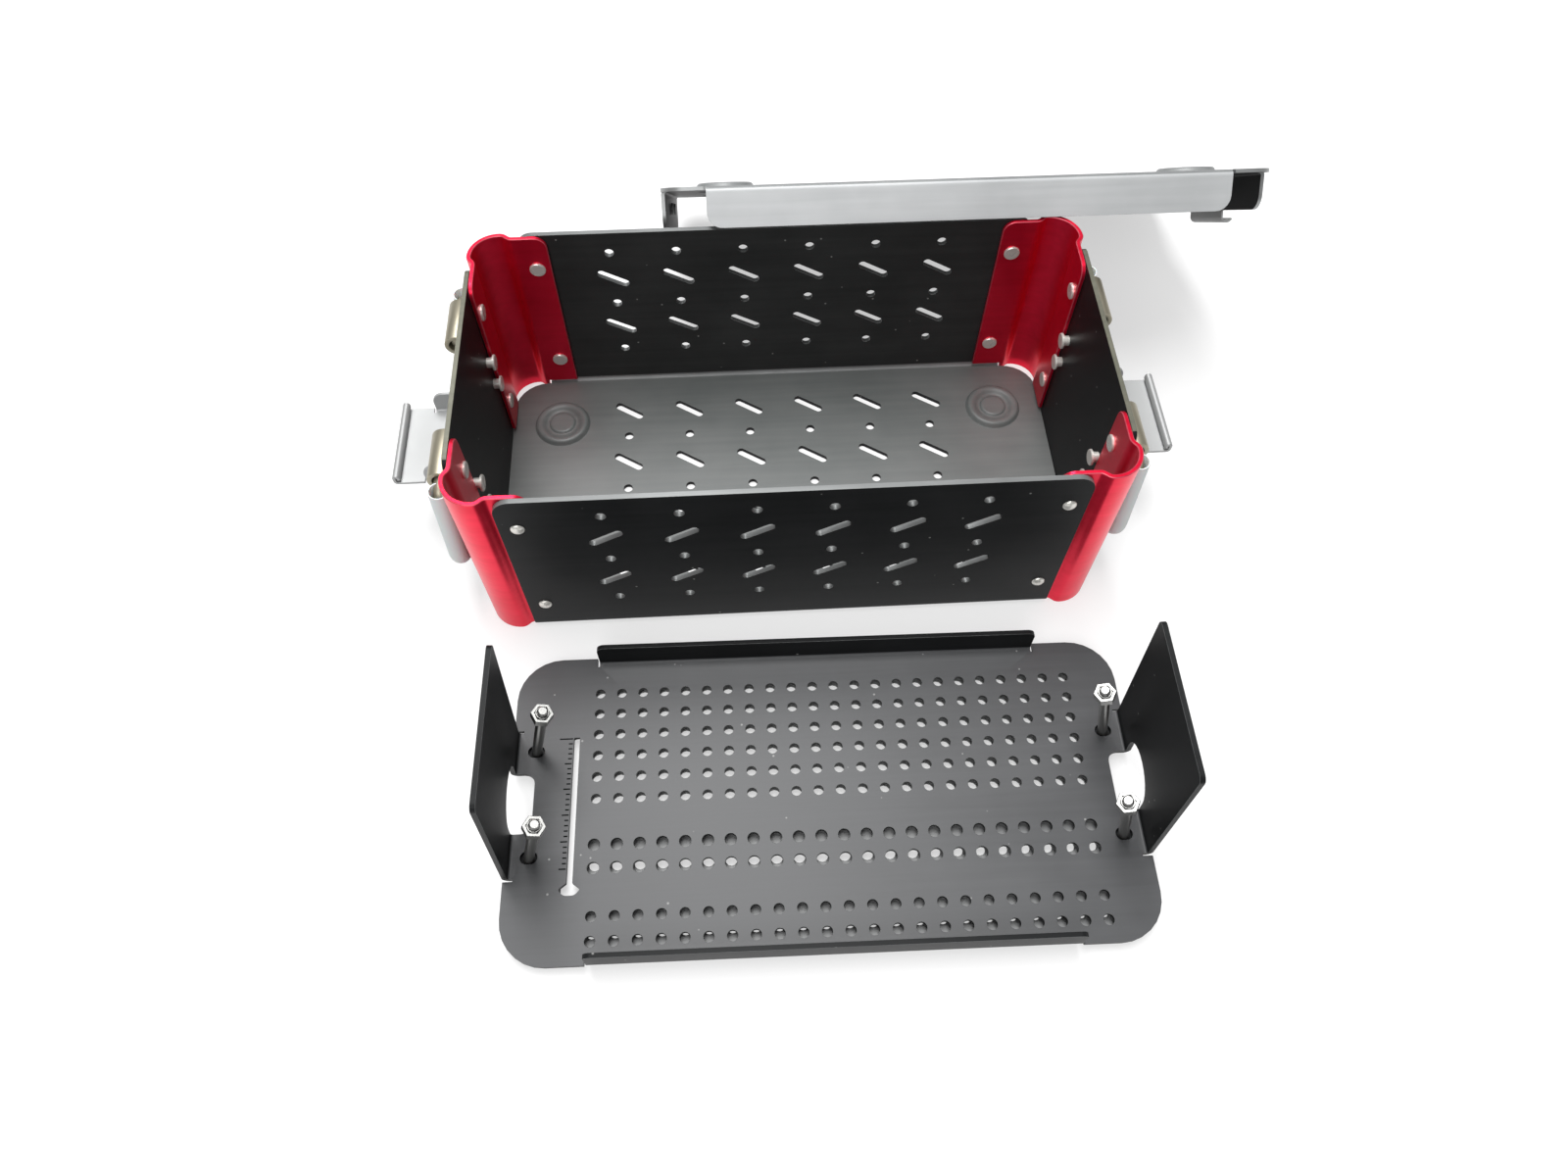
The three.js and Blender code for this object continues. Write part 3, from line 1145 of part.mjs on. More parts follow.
function screwRack() {
  const group = new THREE.Group();
  group.position.set(RACK_CENTRE_X, RACK_CENTRE_Y, 0);
  group.rotation.z = RACK_YAW_DEGREES * DEGREE;
  group.add(rackUpperPlate(), rackLowerPlate());
  for (const place of studPlaces()) group.add(rackStud(place), rackNut(place));
  return group;
}

// The whole case
function instrumentCase() {
  const group = new THREE.Group();
  group.add(caseShell());
  for (const [end, sx] of Object.entries({ left: -1, right: 1 })) {
    group.add(endPanel(sx, `end_panel_${end}`));
    for (const [front, sy] of Object.entries({ front: -1, rear: 1 })) {
      group.add(cornerPost(sx, sy, `corner_post_${front}_${end}`));
      group.add(handleKnuckle(sx, sy, `handle_knuckle_${front}_${end}`));
    }
    group.add(bailWire(sx, `handle_wire_${end}`), bailSleeve(sx, `handle_sleeve_${end}`));
    group.add(latchBase(sx, `latch_base_${end}`), latchPin(sx, `latch_pin_${end}`));
    group.add(latchLever(sx, `latch_lever_${end}`));
  }
  for (const rivet of cornerRivets()) group.add(rivet);
  group.add(leaningLid(), screwRack());
  return group;
}

const group = instrumentCase();

export default group;
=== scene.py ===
# %% [markdown]
# # An orthopedic instrument case, dressed for its picture
# A perforated box of black anodised sheet with red corner posts stands open. Its lid
# leans on the rear wall and its screw rack lies in front. The solids come from the
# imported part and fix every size. Here each of them gets the shape the eye expects close
# up: deburred edges, round holes, bends with a radius, and a finish that behaves like
# the real one. Sizes are in millimetres until a piece is handed over.

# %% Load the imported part
import math

import bmesh
import bpy
from mathutils import Matrix, Vector


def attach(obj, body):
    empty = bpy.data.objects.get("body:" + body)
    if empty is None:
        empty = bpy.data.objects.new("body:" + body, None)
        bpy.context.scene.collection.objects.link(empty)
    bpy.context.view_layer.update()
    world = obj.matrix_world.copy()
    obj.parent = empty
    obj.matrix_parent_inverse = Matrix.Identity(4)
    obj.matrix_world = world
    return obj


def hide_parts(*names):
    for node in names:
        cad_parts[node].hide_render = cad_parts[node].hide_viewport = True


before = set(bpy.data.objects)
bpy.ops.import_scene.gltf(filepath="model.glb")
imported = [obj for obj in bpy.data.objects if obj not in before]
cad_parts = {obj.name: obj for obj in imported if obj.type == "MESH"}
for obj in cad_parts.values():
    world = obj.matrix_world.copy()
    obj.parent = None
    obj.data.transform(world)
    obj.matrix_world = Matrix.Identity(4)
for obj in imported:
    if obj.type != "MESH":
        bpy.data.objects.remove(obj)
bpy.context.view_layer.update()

MM = 0.001
ORIGIN = Matrix.Identity(4)
ENDS = {"left": -1, "right": 1}
SIDES = {"front": -1, "rear": 1}

# %% [markdown]
# ## The camera
# The photograph looks down at the open case from the front. The place, the three
# angles and the lens were worked out from the even pitch of the perforation and from
# the ticks of the screw gauge, so nothing has to be shifted or cropped afterwards.

# %% Set the camera
CAMERA_PLACE_MM = (-19.2, -279.8, 392.5)
CAMERA_TURN_DEGREES = (30.04, -0.45, -3.31)
CAMERA_LENS_MM = 24.77
CAMERA_SENSOR_MM = 36
CAMERA_NEAR_MM = 10

camera_data = bpy.data.cameras.new("camera")
camera_data.sensor_fit = "HORIZONTAL"
camera_data.sensor_width = CAMERA_SENSOR_MM
camera_data.lens = CAMERA_LENS_MM
camera_data.clip_start = CAMERA_NEAR_MM * MM
camera = bpy.data.objects.new("camera", camera_data)
camera.location = Vector(CAMERA_PLACE_MM) * MM
camera.rotation_euler = [math.radians(turn) for turn in CAMERA_TURN_DEGREES]
bpy.context.scene.collection.objects.link(camera)
bpy.context.scene.camera = camera
print("camera at", [round(v, 3) for v in camera.location], "lens", CAMERA_LENS_MM)

# %% [markdown]
# ## Finishes
# A material here is a short chain of nodes that ends in one Principled shader. Two
# helpers keep the chains readable: one turns the colour a painter would name, a hex
# value, into the linear numbers a renderer needs. The other adds any node, sets it up
# and wires its inputs. An image could carry a pattern too, but it would need a file and
# show a seam, so every pattern here is worked out from Object coordinates, at a size
# in millimetres.

# %% Colours and nodes
def hex_colour(code):
    channels = [int(code[i:i + 2], 16) / 255 for i in (1, 3, 5)]
    linear = [c / 12.92 if c <= 0.04045 else ((c + 0.055) / 1.055) ** 2.4 for c in channels]
    return (*linear, 1.0)


def add_node(tree, kind, links=None, values=None, **settings):
    """Adds a node: settings are its properties, values its socket numbers, links its wires."""
    node = tree.nodes.new(kind)
    for name, value in settings.items():
        setattr(node, name, value)
    for socket, value in (values or {}).items():
        node.inputs[socket].default_value = value
    for socket, output in (links or {}).items():
        tree.links.new(output, node.inputs[socket])
    return node


def new_material(name):
    material = bpy.data.materials.new(name)
    material.use_nodes = True
    material.node_tree.nodes.clear()
    return material, material.node_tree


def close_material(tree, shader):
    add_node(tree, "ShaderNodeOutputMaterial", {"Surface": shader.outputs[0]})


print("middle grey, #808080, in linear numbers:", [round(v, 3) for v in hex_colour("#808080")])

# %% [markdown]
# ### Anodised aluminium
# Anodising grows a thin hard oxide on the metal and dyes it. The oxide keeps the fine
# etched grain of the sheet, so the surface is satin, not glossy: reflections stay soft
# and the colour changes a little from place to place, where the dye took more or less.
# Black dye hides the metal almost fully. Red dye lets it glow through, so the red is a
# coloured metal. Handling leaves pale specks and rubs, most of them under a millimetre.
#
# One black isn't enough for this case, because light is painted into some of it. Its
# outside is as dark as on the first day. The inner faces of the walls get a lighter black
# as painted light, the rack's upper plate and the case floor a lighter black as painted
# sheen from the lamp overhead, and the lower plate a pale grey as painted light that
# comes through the holes. Every sheet also has a paler cut edge, because the edge
# catches light and loses its dye first.

# %% Anodised sheets
CLOUD_MM = 35.0      # patches where the dye took a little more or less
GRAIN_MM = 0.6       # etched grain, drawn coarser than the real 0.05 mm so that it shows
SPECK_MM = 9.0       # spacing of dust and small rubs
STREAK_MM = 2.5      # width of the rolling streaks of the sheet
STREAK_SQUEEZE = 0.04            # the streaks run far along X
STREAK_SHARE = 0.35              # how much of the tint they make, beside the patches
TINT_FROM, TINT_TO = 0.36, 0.66  # the part of the noise that spans both colours
SPECK_CORE, SPECK_RIM = 0.035, 0.055
SPECK_COLOUR = "#c9c9c6"         # bare metal and dust
OXIDE_IOR = 1.5                  # a thin sealed oxide, like glass


def anodised(name, dark, light, metallic, roughness, specks=0.0, grain_bump=0.04, coat=0.0, shine=0.5):
    """An anodised sheet; specks is how strongly dust and rubs show, shine the oxide's gloss."""
    material, tree = new_material(name)
    place = add_node(tree, "ShaderNodeTexCoord").outputs["Object"]
    clouds = add_node(tree, "ShaderNodeTexNoise", {"Vector": place},
                      {"Scale": 1 / (CLOUD_MM * MM), "Detail": 3.0, "Roughness": 0.55})
    stretched = add_node(tree, "ShaderNodeMapping", {"Vector": place},
                         {"Scale": (STREAK_SQUEEZE, 1.0, 1.0)})
    streaks = add_node(tree, "ShaderNodeTexNoise", {"Vector": stretched.outputs[0]},
                       {"Scale": 1 / (STREAK_MM * MM), "Detail": 2.0})
    both = add_node(tree, "ShaderNodeMix", {"A": clouds.outputs["Fac"], "B": streaks.outputs["Fac"]},
                    {"Factor": STREAK_SHARE})
    tint = add_node(tree, "ShaderNodeValToRGB", {"Fac": both.outputs[0]})
    stops = zip(tint.color_ramp.elements, (TINT_FROM, TINT_TO), (dark, light))
    for stop, position, colour in stops:
        stop.position = position
        stop.color = hex_colour(colour)
    cells = add_node(tree, "ShaderNodeTexVoronoi", {"Vector": place},
                     {"Scale": 1 / (SPECK_MM * MM), "Randomness": 1.0})
    dots = add_node(tree, "ShaderNodeMapRange", {"Value": cells.outputs["Distance"]},
                    {"From Min": SPECK_CORE, "From Max": SPECK_RIM, "To Min": specks, "To Max": 0.0})
    coloured = add_node(tree, "ShaderNodeMix", {"Factor": dots.outputs[0], "A": tint.outputs[0]},
                        {"B": hex_colour(SPECK_COLOUR)}, data_type="RGBA")
    rough = add_node(tree, "ShaderNodeMapRange", {"Value": both.outputs[0]},
                     {"To Min": roughness - 0.05, "To Max": roughness + 0.06})
    grain = add_node(tree, "ShaderNodeTexNoise", {"Vector": place},
                     {"Scale": 1 / (GRAIN_MM * MM), "Detail": 2.0})
    bump = add_node(tree, "ShaderNodeBump", {"Height": grain.outputs["Fac"]},
                    {"Strength": grain_bump, "Distance": 0.1 * MM})
    shader = add_node(tree, "ShaderNodeBsdfPrincipled",
                      {"Base Color": coloured.outputs[2], "Roughness": rough.outputs[0],
                       "Normal": bump.outputs[0]},
                      {"Metallic": metallic, "IOR": OXIDE_IOR, "Specular IOR Level": shine,
                       "Coat Weight": coat, "Coat Roughness": 0.12, "Coat IOR": OXIDE_IOR})
    close_material(tree, shader)
    return material


BLACK = anodised("black anodised aluminium, etched", "#151617", "#1f2021", 0.0, 0.41, 0.35, shine=0.1)
# Painted light: a lighter copy of the black for the inner faces of the walls.
INSIDE_PAINTED_LIGHT = anodised("black anodised aluminium, walls inside, painted light", "#272828", "#333434", 0.0, 0.41, 0.35, shine=0.2)
# Painted sheen: a lighter copy of the black for the rack's flat faces, for the lamp overhead.
RACK_PAINTED_SHEEN = anodised("black anodised aluminium, rack top, painted sheen", "#37383a", "#434446", 0.0, 0.45, 0.35)
# Painted sheen: a lighter copy of the black for the floor that faces up, for the lamp overhead.
FLOOR_PAINTED_SHEEN = anodised("black anodised aluminium, floor, painted sheen", "#5b5f5e", "#676a69", 0.0, 0.42, shine=0.4)
# Painted light: a pale grey for the lower plate, for the light that reaches it through the holes.
LOWER_PAINTED_LIGHT = anodised("black anodised aluminium, lower plate, painted light", "#8a8b8c", "#9a9b9b", 0.0, 0.5)
BLACK_EDGE = anodised("black anodised aluminium, cut edge", "#646666", "#7a7c7c", 0.35, 0.45)
PANEL_EDGE = anodised("end panel, bare cut edge", "#55554a", "#6c6b5e", 0.35, 0.45)
RED = anodised("red anodised aluminium, polished", "#dc1434", "#f01f42", 0.75, 0.33,
               grain_bump=0.01, coat=0.05, shine=0.3)
RED_EDGE = anodised("red anodised aluminium, cut edge", "#c23a4c", "#d85c6c", 0.4, 0.4, grain_bump=0.01)
GREY = anodised("grey anodised aluminium, satin", "#a7a9aa", "#b6b8b9", 0.15, 0.45)
# Painted shade: a darker copy of the grey for the lid's top.
LID_TOP_PAINTED_SHADE = anodised("grey anodised aluminium, lid top, painted shade", "#77797a", "#878989", 0.15, 0.45)
GREY_EDGE = anodised("grey anodised aluminium, cut edge", "#8b8d8d", "#a0a2a2", 0.6, 0.4)
ENGRAVED = anodised("engraved line, dark", "#050505", "#0a0a0a", 0.0, 0.8, shine=0.0)
print("anodised finishes ready")

# %% [markdown]
# ### Steel, nickel and silicone
# The latches are stamped from stainless strip with a satin mill finish: long fine lines
# along the rolling direction. The pins are the same steel, tumbled bright, the studs and
# nuts are turned and a shade darker, and the rivets are headed aluminium. The handle
# hardware is nickel plated steel, which gives a warm, slightly beige metal. The grips
# are silicone tube, matte and a touch translucent, so they scatter light a little under
# the skin. Where a metal is dulled by handling, its metallic value is lowered a little,
# which mixes some plain grey into the mirror.

# %% Metals and silicone
BRUSH_MM = 0.35      # spacing of the mill lines
BRUSH_SQUEEZE = 0.03  # they run far along X
HANDLING_MM = 12     # size of the duller patches that fingers leave
SKIN_MM = 1.5        # orange peel of the silicone


def bare_metal(name, colour, roughness, lines, metallic):
    """A bare metal; lines is how strongly its mill lines show."""
    material, tree = new_material(name)
    place = add_node(tree, "ShaderNodeTexCoord").outputs["Object"]
    along = add_node(tree, "ShaderNodeMapping", {"Vector": place},
                     {"Scale": (BRUSH_SQUEEZE, 1.0, 1.0)})
    brush = add_node(tree, "ShaderNodeTexNoise", {"Vector": along.outputs[0]},
                     {"Scale": 1 / (BRUSH_MM * MM), "Detail": 3.0})
    handling = add_node(tree, "ShaderNodeTexNoise", {"Vector": place}, {"Scale": 1 / (HANDLING_MM * MM)})
    rough = add_node(tree, "ShaderNodeMapRange", {"Value": handling.outputs["Fac"]},
                     {"To Min": roughness - 0.06, "To Max": roughness + 0.1})
    bump = add_node(tree, "ShaderNodeBump", {"Height": brush.outputs["Fac"]},
                    {"Strength": lines, "Distance": 0.1 * MM})
    shader = add_node(tree, "ShaderNodeBsdfPrincipled",
                      {"Roughness": rough.outputs[0], "Normal": bump.outputs[0]},
                      {"Base Color": hex_colour(colour), "Metallic": metallic})
    close_material(tree, shader)
    return material


def silicone(name, colour):
    material, tree = new_material(name)
    place = add_node(tree, "ShaderNodeTexCoord").outputs["Object"]
    skin = add_node(tree, "ShaderNodeTexNoise", {"Vector": place}, {"Scale": 1 / (SKIN_MM * MM)})
    bump = add_node(tree, "ShaderNodeBump", {"Height": skin.outputs["Fac"]},
                    {"Strength": 0.05, "Distance": 0.2 * MM})
    shader = add_node(tree, "ShaderNodeBsdfPrincipled", {"Normal": bump.outputs[0]},
                      {"Base Color": hex_colour(colour), "Roughness": 0.52,
                       "Subsurface Weight": 0.15, "Subsurface Scale": 1 * MM, "Sheen Weight": 0.1})
    close_material(tree, shader)
    return material


STEEL = bare_metal("stainless steel strip, satin", "#a6a7a7", 0.5, 0.1, 0.5)
BRIGHT = bare_metal("stainless steel, tumbled", "#d2d2d0", 0.3, 0.02, 0.85)
RIVET = bare_metal("aluminium rivet, headed", "#dedcd6", 0.27, 0.02, 0.5)
NICKEL = bare_metal("nickel plated steel, warm", "#a09a88", 0.42, 0.04, 0.8)
NUT_STEEL = bare_metal("stainless steel, turned", "#8f8f8d", 0.3, 0.02, 0.85)
SILICONE = silicone("silicone tube, light grey", "#d4dada")
print("metals and silicone ready")

# %% [markdown]
# ## Tools for sheet metal
# Nearly every piece is a sheet that was cut, punched, folded and deburred, so the
# script has one tool for each of those steps. A blank is a flat outline whose corners
# are rounded by bevelling its vertices. Punching adds closed rings of edges, and one
# fill makes the sheet between them. Booleans could cut the same holes, but they often
# leave ragged rims, and these are clean enough to bevel. Folding spins the blank's edge
# round the bend axis. Thickness and the deburred edge come last, so that they go round
# everything.

# %% Cut and punch
ROUND_STEPS = 7
HOLE_STEPS, SLOT_STEPS = 20, 16
PLAIN, EDGE = 0, 1   # every sheet's first material is its face, the second its cut edge
KEEP = -1            # a bevel that keeps the material of the faces beside it


def cut_blank(corners):
    """A flat outline in X and Y; a corner is (x, y) or (x, y, radius), in millimetres."""
    bm = bmesh.new()
    verts = [bm.verts.new((corner[0], corner[1], 0)) for corner in corners]
    bm.faces.new(verts)
    for vert, corner in zip(verts, corners):
        if len(corner) == 3:
            bmesh.ops.bevel(bm, geom=[vert], offset=corner[2], segments=ROUND_STEPS,
                            profile=0.5, affect="VERTICES", material=KEEP)
    bmesh.ops.delete(bm, geom=bm.faces[:], context="FACES_ONLY")
    return bm


def punch_round(bm, x, y, radius, steps=HOLE_STEPS):
    bmesh.ops.create_circle(bm, segments=steps, radius=radius, matrix=Matrix.Translation((x, y, 0)))


def punch_slot(bm, x, y, length, width, tilt_degrees):
    """Pulls a circle apart into a slot and turns it into place."""
    ring = bmesh.ops.create_circle(bm, segments=SLOT_STEPS, radius=width / 2,
                                   matrix=Matrix.Rotation(math.pi / SLOT_STEPS, 4, "Z"))["verts"]
    for side in (-1, 1):
        end = [vert for vert in ring if vert.co.x * side > 0]
        bmesh.ops.translate(bm, vec=(side * (length - width) / 2, 0, 0), verts=end)
    turn = Matrix.Translation((x, y, 0)) @ Matrix.Rotation(math.radians(tilt_degrees), 4, "Z")
    bmesh.ops.transform(bm, matrix=turn, verts=ring)


def fill_blank(bm):
    """Makes the sheet between the outline and the holes, its front upwards."""
    bmesh.ops.triangle_fill(bm, use_beauty=True, use_dissolve=False, edges=bm.edges[:], normal=(0, 0, 1))
    bmesh.ops.recalc_face_normals(bm, faces=bm.faces[:])
    if sum(face.normal.z * face.calc_area() for face in bm.faces) < 0:
        bmesh.ops.reverse_faces(bm, faces=bm.faces[:])
    return bm


def mirrored_corners(quarter):
    """Repeats the corners of one quarter, anticlockwise from +X to +Y, round the whole outline."""
    flip = lambda corners, sx, sy: [(c[0] * sx, c[1] * sy, *c[2:]) for c in corners]
    return quarter + flip(quarter[::-1], -1, 1) + flip(quarter, -1, -1) + flip(quarter[::-1], 1, -1)


print("steps round a hole:", HOLE_STEPS, "and round a corner:", ROUND_STEPS)

# %% Join, fold, thicken and deburr
NEAR = 0.01          # millimetres: closer than this is taken as on the line
SHARP_DEGREES = 50   # an edge sharper than this gets deburred
STAND_XZ = Matrix.Rotation(math.radians(90), 4, "X")
STAND_YZ = Matrix.Rotation(math.radians(90), 4, "Z") @ STAND_XZ


def place_in(target, part, matrix=ORIGIN):
    """Moves a finished flat part into the piece that it belongs to."""
    bmesh.ops.transform(part, matrix=matrix, verts=part.verts[:])
    if matrix.determinant() < 0:
        bmesh.ops.reverse_faces(part, faces=part.faces[:])
    carrier = bpy.data.meshes.new("carrier")
    part.to_mesh(carrier)
    target.from_mesh(carrier)
    bpy.data.meshes.remove(carrier)
    part.free()


def edges_where(bm, test):
    return [edge for edge in bm.edges if all(test(vert.co) for vert in edge.verts)]


class Sweep:
    """Pulls a line of edges along straights and bends, as a roller or a press brake does."""

    def __init__(self, bm, edges, at, heading, axis):
        self.bm, self.edges = bm, edges
        self.at, self.heading, self.axis = Vector(at), Vector(heading), Vector(axis)

    def straight(self, length):
        made = bmesh.ops.extrude_edge_only(self.bm, edges=self.edges)["geom"]
        verts = [item for item in made if isinstance(item, bmesh.types.BMVert)]
        self.edges = [item for item in made if isinstance(item, bmesh.types.BMEdge)]
        bmesh.ops.translate(self.bm, vec=self.heading * length, verts=verts)
        self.at += self.heading * length
        return self

    def bend(self, radius, degrees, steps=6):
        """Turns left, seen against the axis, for a positive angle."""
        left = self.axis.cross(self.heading)
        centre = self.at + left * math.copysign(radius, degrees)
        verts = {vert for edge in self.edges for vert in edge.verts}
        made = bmesh.ops.spin(self.bm, geom=[*verts, *self.edges], cent=centre, axis=self.axis,
                              dvec=(0, 0, 0), angle=math.radians(degrees), space=ORIGIN,
                              steps=steps, use_merge=False, use_duplicate=False)
        self.edges = [item for item in made["geom_last"] if isinstance(item, bmesh.types.BMEdge)]
        turn = Matrix.Rotation(math.radians(degrees), 3, self.axis)
        self.at = centre + turn @ (self.at - centre)
        self.heading = turn @ self.heading
        return self


def weld(bm, up=None):
    """Merges doubled vertices and turns all faces one way; up is a direction most should face."""
    bmesh.ops.remove_doubles(bm, verts=bm.verts[:], dist=NEAR)
    bmesh.ops.recalc_face_normals(bm, faces=bm.faces[:])
    if up is not None:
        if sum(face.normal.dot(Vector(up)) * face.calc_area() for face in bm.faces) < 0:
            bmesh.ops.reverse_faces(bm, faces=bm.faces[:])
    return bm


def thicken(bm, thickness, shift=0.0, behind=PLAIN, rim=PLAIN):
    """Gives the sheet its thickness, behind its faces; shift first moves it forwards.
    behind and rim are the material numbers of the new back faces and of the cut edges."""
    if shift:
        bm.normal_update()
        normals = [vert.normal.copy() * shift * vert.calc_shell_factor() for vert in bm.verts]
        for vert, move in zip(bm.verts, normals):
            vert.co += move
    front = set(bm.verts)
    bmesh.ops.solidify(bm, geom=bm.faces[:], thickness=thickness)
    for face in bm.faces:
        shared = len(front.intersection(face.verts))
        if shared < len(face.verts):
            face.material_index = rim if shared else behind
    return bm


def deburr(bm, width, material=EDGE, segments=1):
    """Breaks every sharp edge with a narrow bevel."""
    limit = math.radians(SHARP_DEGREES)
    sharp = [edge for edge in bm.edges if len(edge.link_faces) == 2 and edge.calc_face_angle() > limit]
    bmesh.ops.bevel(bm, geom=sharp, offset=width, segments=segments, profile=0.5,
                    affect="EDGES", material=material, clamp_overlap=True)
    return bm


print("edges sharper than", SHARP_DEGREES, "degrees get deburred")

# %% Hand a piece over
SMOOTH_DEGREES = 38  # faces that meet at less than this are shaded as one


def hand_over(bm, name, body, nodes, materials):
    """Turns millimetres into metres, hangs the piece on its body and hides the imported nodes it stands for.
    """
    bmesh.ops.scale(bm, vec=(MM, MM, MM), verts=bm.verts[:])
    mesh = bpy.data.meshes.new(name)
    bm.to_mesh(mesh)
    bm.free()
    mesh.polygons.foreach_set("use_smooth", [True] * len(mesh.polygons))
    mesh.set_sharp_from_angle(angle=math.radians(SMOOTH_DEGREES))
    for material in materials:
        mesh.materials.append(material)
    piece = bpy.data.objects.new(name, mesh)
    bpy.context.scene.collection.objects.link(piece)
    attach(piece, body)
    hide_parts(*nodes)
    print(f"{name}: {len(mesh.polygons)} faces, {[round(v / MM, 1) for v in piece.dimensions]} mm")
    return piece


print("faces are shaded as one below", SMOOTH_DEGREES, "degrees")

# %% [markdown]
# ## Case shell
# Front wall, floor and rear wall are one sheet of aluminium, perforated flat and then
# folded up along two lines. Steam and water pass through the slanted slots and the
# round holes between them. Four rings are pressed up into the floor, so that the feet
# of another case find their place. A hollowed box would be quicker to make, but it has
# no bends. The drawing starts on the inner face of the sheet, where the floor is flat,
# and the thickness grows outwards. Where each bend still faces up, it takes the pale
# colour of the cut edges as a painted highlight. The floor that faces up gets a lighter
# black as painted sheen, and the inner faces of the walls one as painted light.

# %% Shell sizes
SHEET = 2.0
WALL_INSIDE_Y = 64.0
WALL_HALF_LENGTH = 105.5
WALL_TOP = 88.0
WALL_CORNER = 7.0
BEND_INSIDE = 2.0
FLOOR_HALF_LENGTH = 121.2
FLOOR_CORNER = 14.8
WALL_FOOT = SHEET + BEND_INSIDE
FLOOR_EDGE = WALL_INSIDE_Y - BEND_INSIDE
COLUMN_PITCH, COLUMNS = 27.5, 6
WALL_ROW_PITCH, WALL_ROWS, FIRST_WALL_ROW_DROP = 14.0, 5, 10.3
FLOOR_ROW_PITCH, FLOOR_ROWS = 14.5, 7
HOLE_RADIUS = 2.0
SLOT_LENGTH, SLOT_WIDTH = 14.4, 3.6
WALL_TILT, FLOOR_TILT = 30, 33
RING_PLACES = [(x, y) for x in (-99, 99) for y in (-37.25, 37.25)]
RIVET_X, RIVET_Y, RIVET_HEIGHTS = 98.7, 39.0, (18.0, 72.0)
SHELL_FLOOR_SHEEN, SHELL_INSIDE_LIGHT = 2, 3           # the shell's other two materials
# Painted highlight: faces of a bend beyond this line that face up take the pale edge colour.
BEND_HIGHLIGHT_START, PAINTED_LIGHT_UP = 0.3, 0.3   # beyond the fold line, while it still faces up
print("case inside:", 2 * FLOOR_HALF_LENGTH, "x", 2 * WALL_INSIDE_Y, "x", WALL_TOP - SHEET, "mm")


def punch_rows(bm, rows, top_y, pitch, slot_rows, tilt):
    """Rows of slots and of round holes by turns; slot_rows is 0 if the first row has slots."""
    for row in range(rows):
        for column in range(COLUMNS):
            x = (column - (COLUMNS - 1) / 2) * COLUMN_PITCH
            y = top_y - row * pitch
            if row % 2 == slot_rows:
                punch_slot(bm, x, y, SLOT_LENGTH, SLOT_WIDTH, tilt)
            else:
                punch_round(bm, x, y, HOLE_RADIUS)

# %% Press a ring into a sheet
RING_RADIUS, RING_STEPS = 12.5, 48
# Radius and height: a round ridge, a dip inside it, and a low button in the middle.
RING_PROFILE = [(12.1, 0.4), (11.7, 1.4), (11.0, 1.9), (10.2, 2.0), (9.2, 1.9), (8.2, 1.3), (7.4, 0.7),
                (6.6, 0.5), (6.0, 0.6), (5.6, 1.1), (5.1, 1.4), (4.5, 1.4)]


def press_ring(bm, x, y):
    """Lifts the sheet inside a punched circle step by step, then closes the middle."""
    centre = Vector((x, y, 0))
    rim = edges_where(bm, lambda co: abs((co - centre).length - RING_RADIUS) < NEAR)
    radius, height = RING_RADIUS, 0.0
    for next_radius, next_height in RING_PROFILE:
        made = bmesh.ops.extrude_edge_only(bm, edges=rim)["geom"]
        verts = [item for item in made if isinstance(item, bmesh.types.BMVert)]
        rim = [item for item in made if isinstance(item, bmesh.types.BMEdge)]
        share = next_radius / radius
        bmesh.ops.scale(bm, vec=(share, share, 1), verts=verts, space=Matrix.Translation(-centre))
        bmesh.ops.translate(bm, vec=(0, 0, next_height - height), verts=verts)
        radius, height = next_radius, next_height
    bmesh.ops.contextual_create(bm, geom=rim)


def blank_with_rings(blank):
    """Fills a blank that has the four stacking rings."""
    for ring_x, ring_y in RING_PLACES:
        punch_round(blank, ring_x, ring_y, RING_RADIUS, RING_STEPS)
    fill_blank(blank)
    for ring_x, ring_y in RING_PLACES:
        press_ring(blank, ring_x, ring_y)
    return blank


print("ring ridge:", max(height for _, height in RING_PROFILE), "mm high")

# %% Fold the shell
shell = bmesh.new()
floor_blank = cut_blank(mirrored_corners([
    (FLOOR_HALF_LENGTH, FLOOR_EDGE, FLOOR_CORNER), (WALL_HALF_LENGTH, FLOOR_EDGE)]))
first_row_y = (FLOOR_ROWS - 1) / 2 * FLOOR_ROW_PITCH
punch_rows(floor_blank, FLOOR_ROWS, first_row_y, FLOOR_ROW_PITCH, 0, -FLOOR_TILT)
place_in(shell, blank_with_rings(floor_blank), Matrix.Translation((0, 0, SHEET)))

for side in (-1, 1):
    rim = edges_where(shell, lambda co: abs(co.y - side * FLOOR_EDGE) < NEAR
                      and abs(co.x) < WALL_HALF_LENGTH + NEAR)
    Sweep(shell, rim, (0, side * FLOOR_EDGE, SHEET), (0, side, 0), (side, 0, 0)).bend(BEND_INSIDE, 90)
    wall_blank = cut_blank([
        (-WALL_HALF_LENGTH, WALL_FOOT), (WALL_HALF_LENGTH, WALL_FOOT),
        (WALL_HALF_LENGTH, WALL_TOP, WALL_CORNER), (-WALL_HALF_LENGTH, WALL_TOP, WALL_CORNER)])
    punch_rows(wall_blank, WALL_ROWS, WALL_TOP - FIRST_WALL_ROW_DROP, WALL_ROW_PITCH, 1, -side * WALL_TILT)
    fill_blank(wall_blank)
    place_in(shell, wall_blank, Matrix.Translation((0, side * WALL_INSIDE_Y, 0)) @ STAND_XZ)
weld(shell, up=(0, 0, 1))
thicken(shell, SHEET)
deburr(shell, width=0.25)
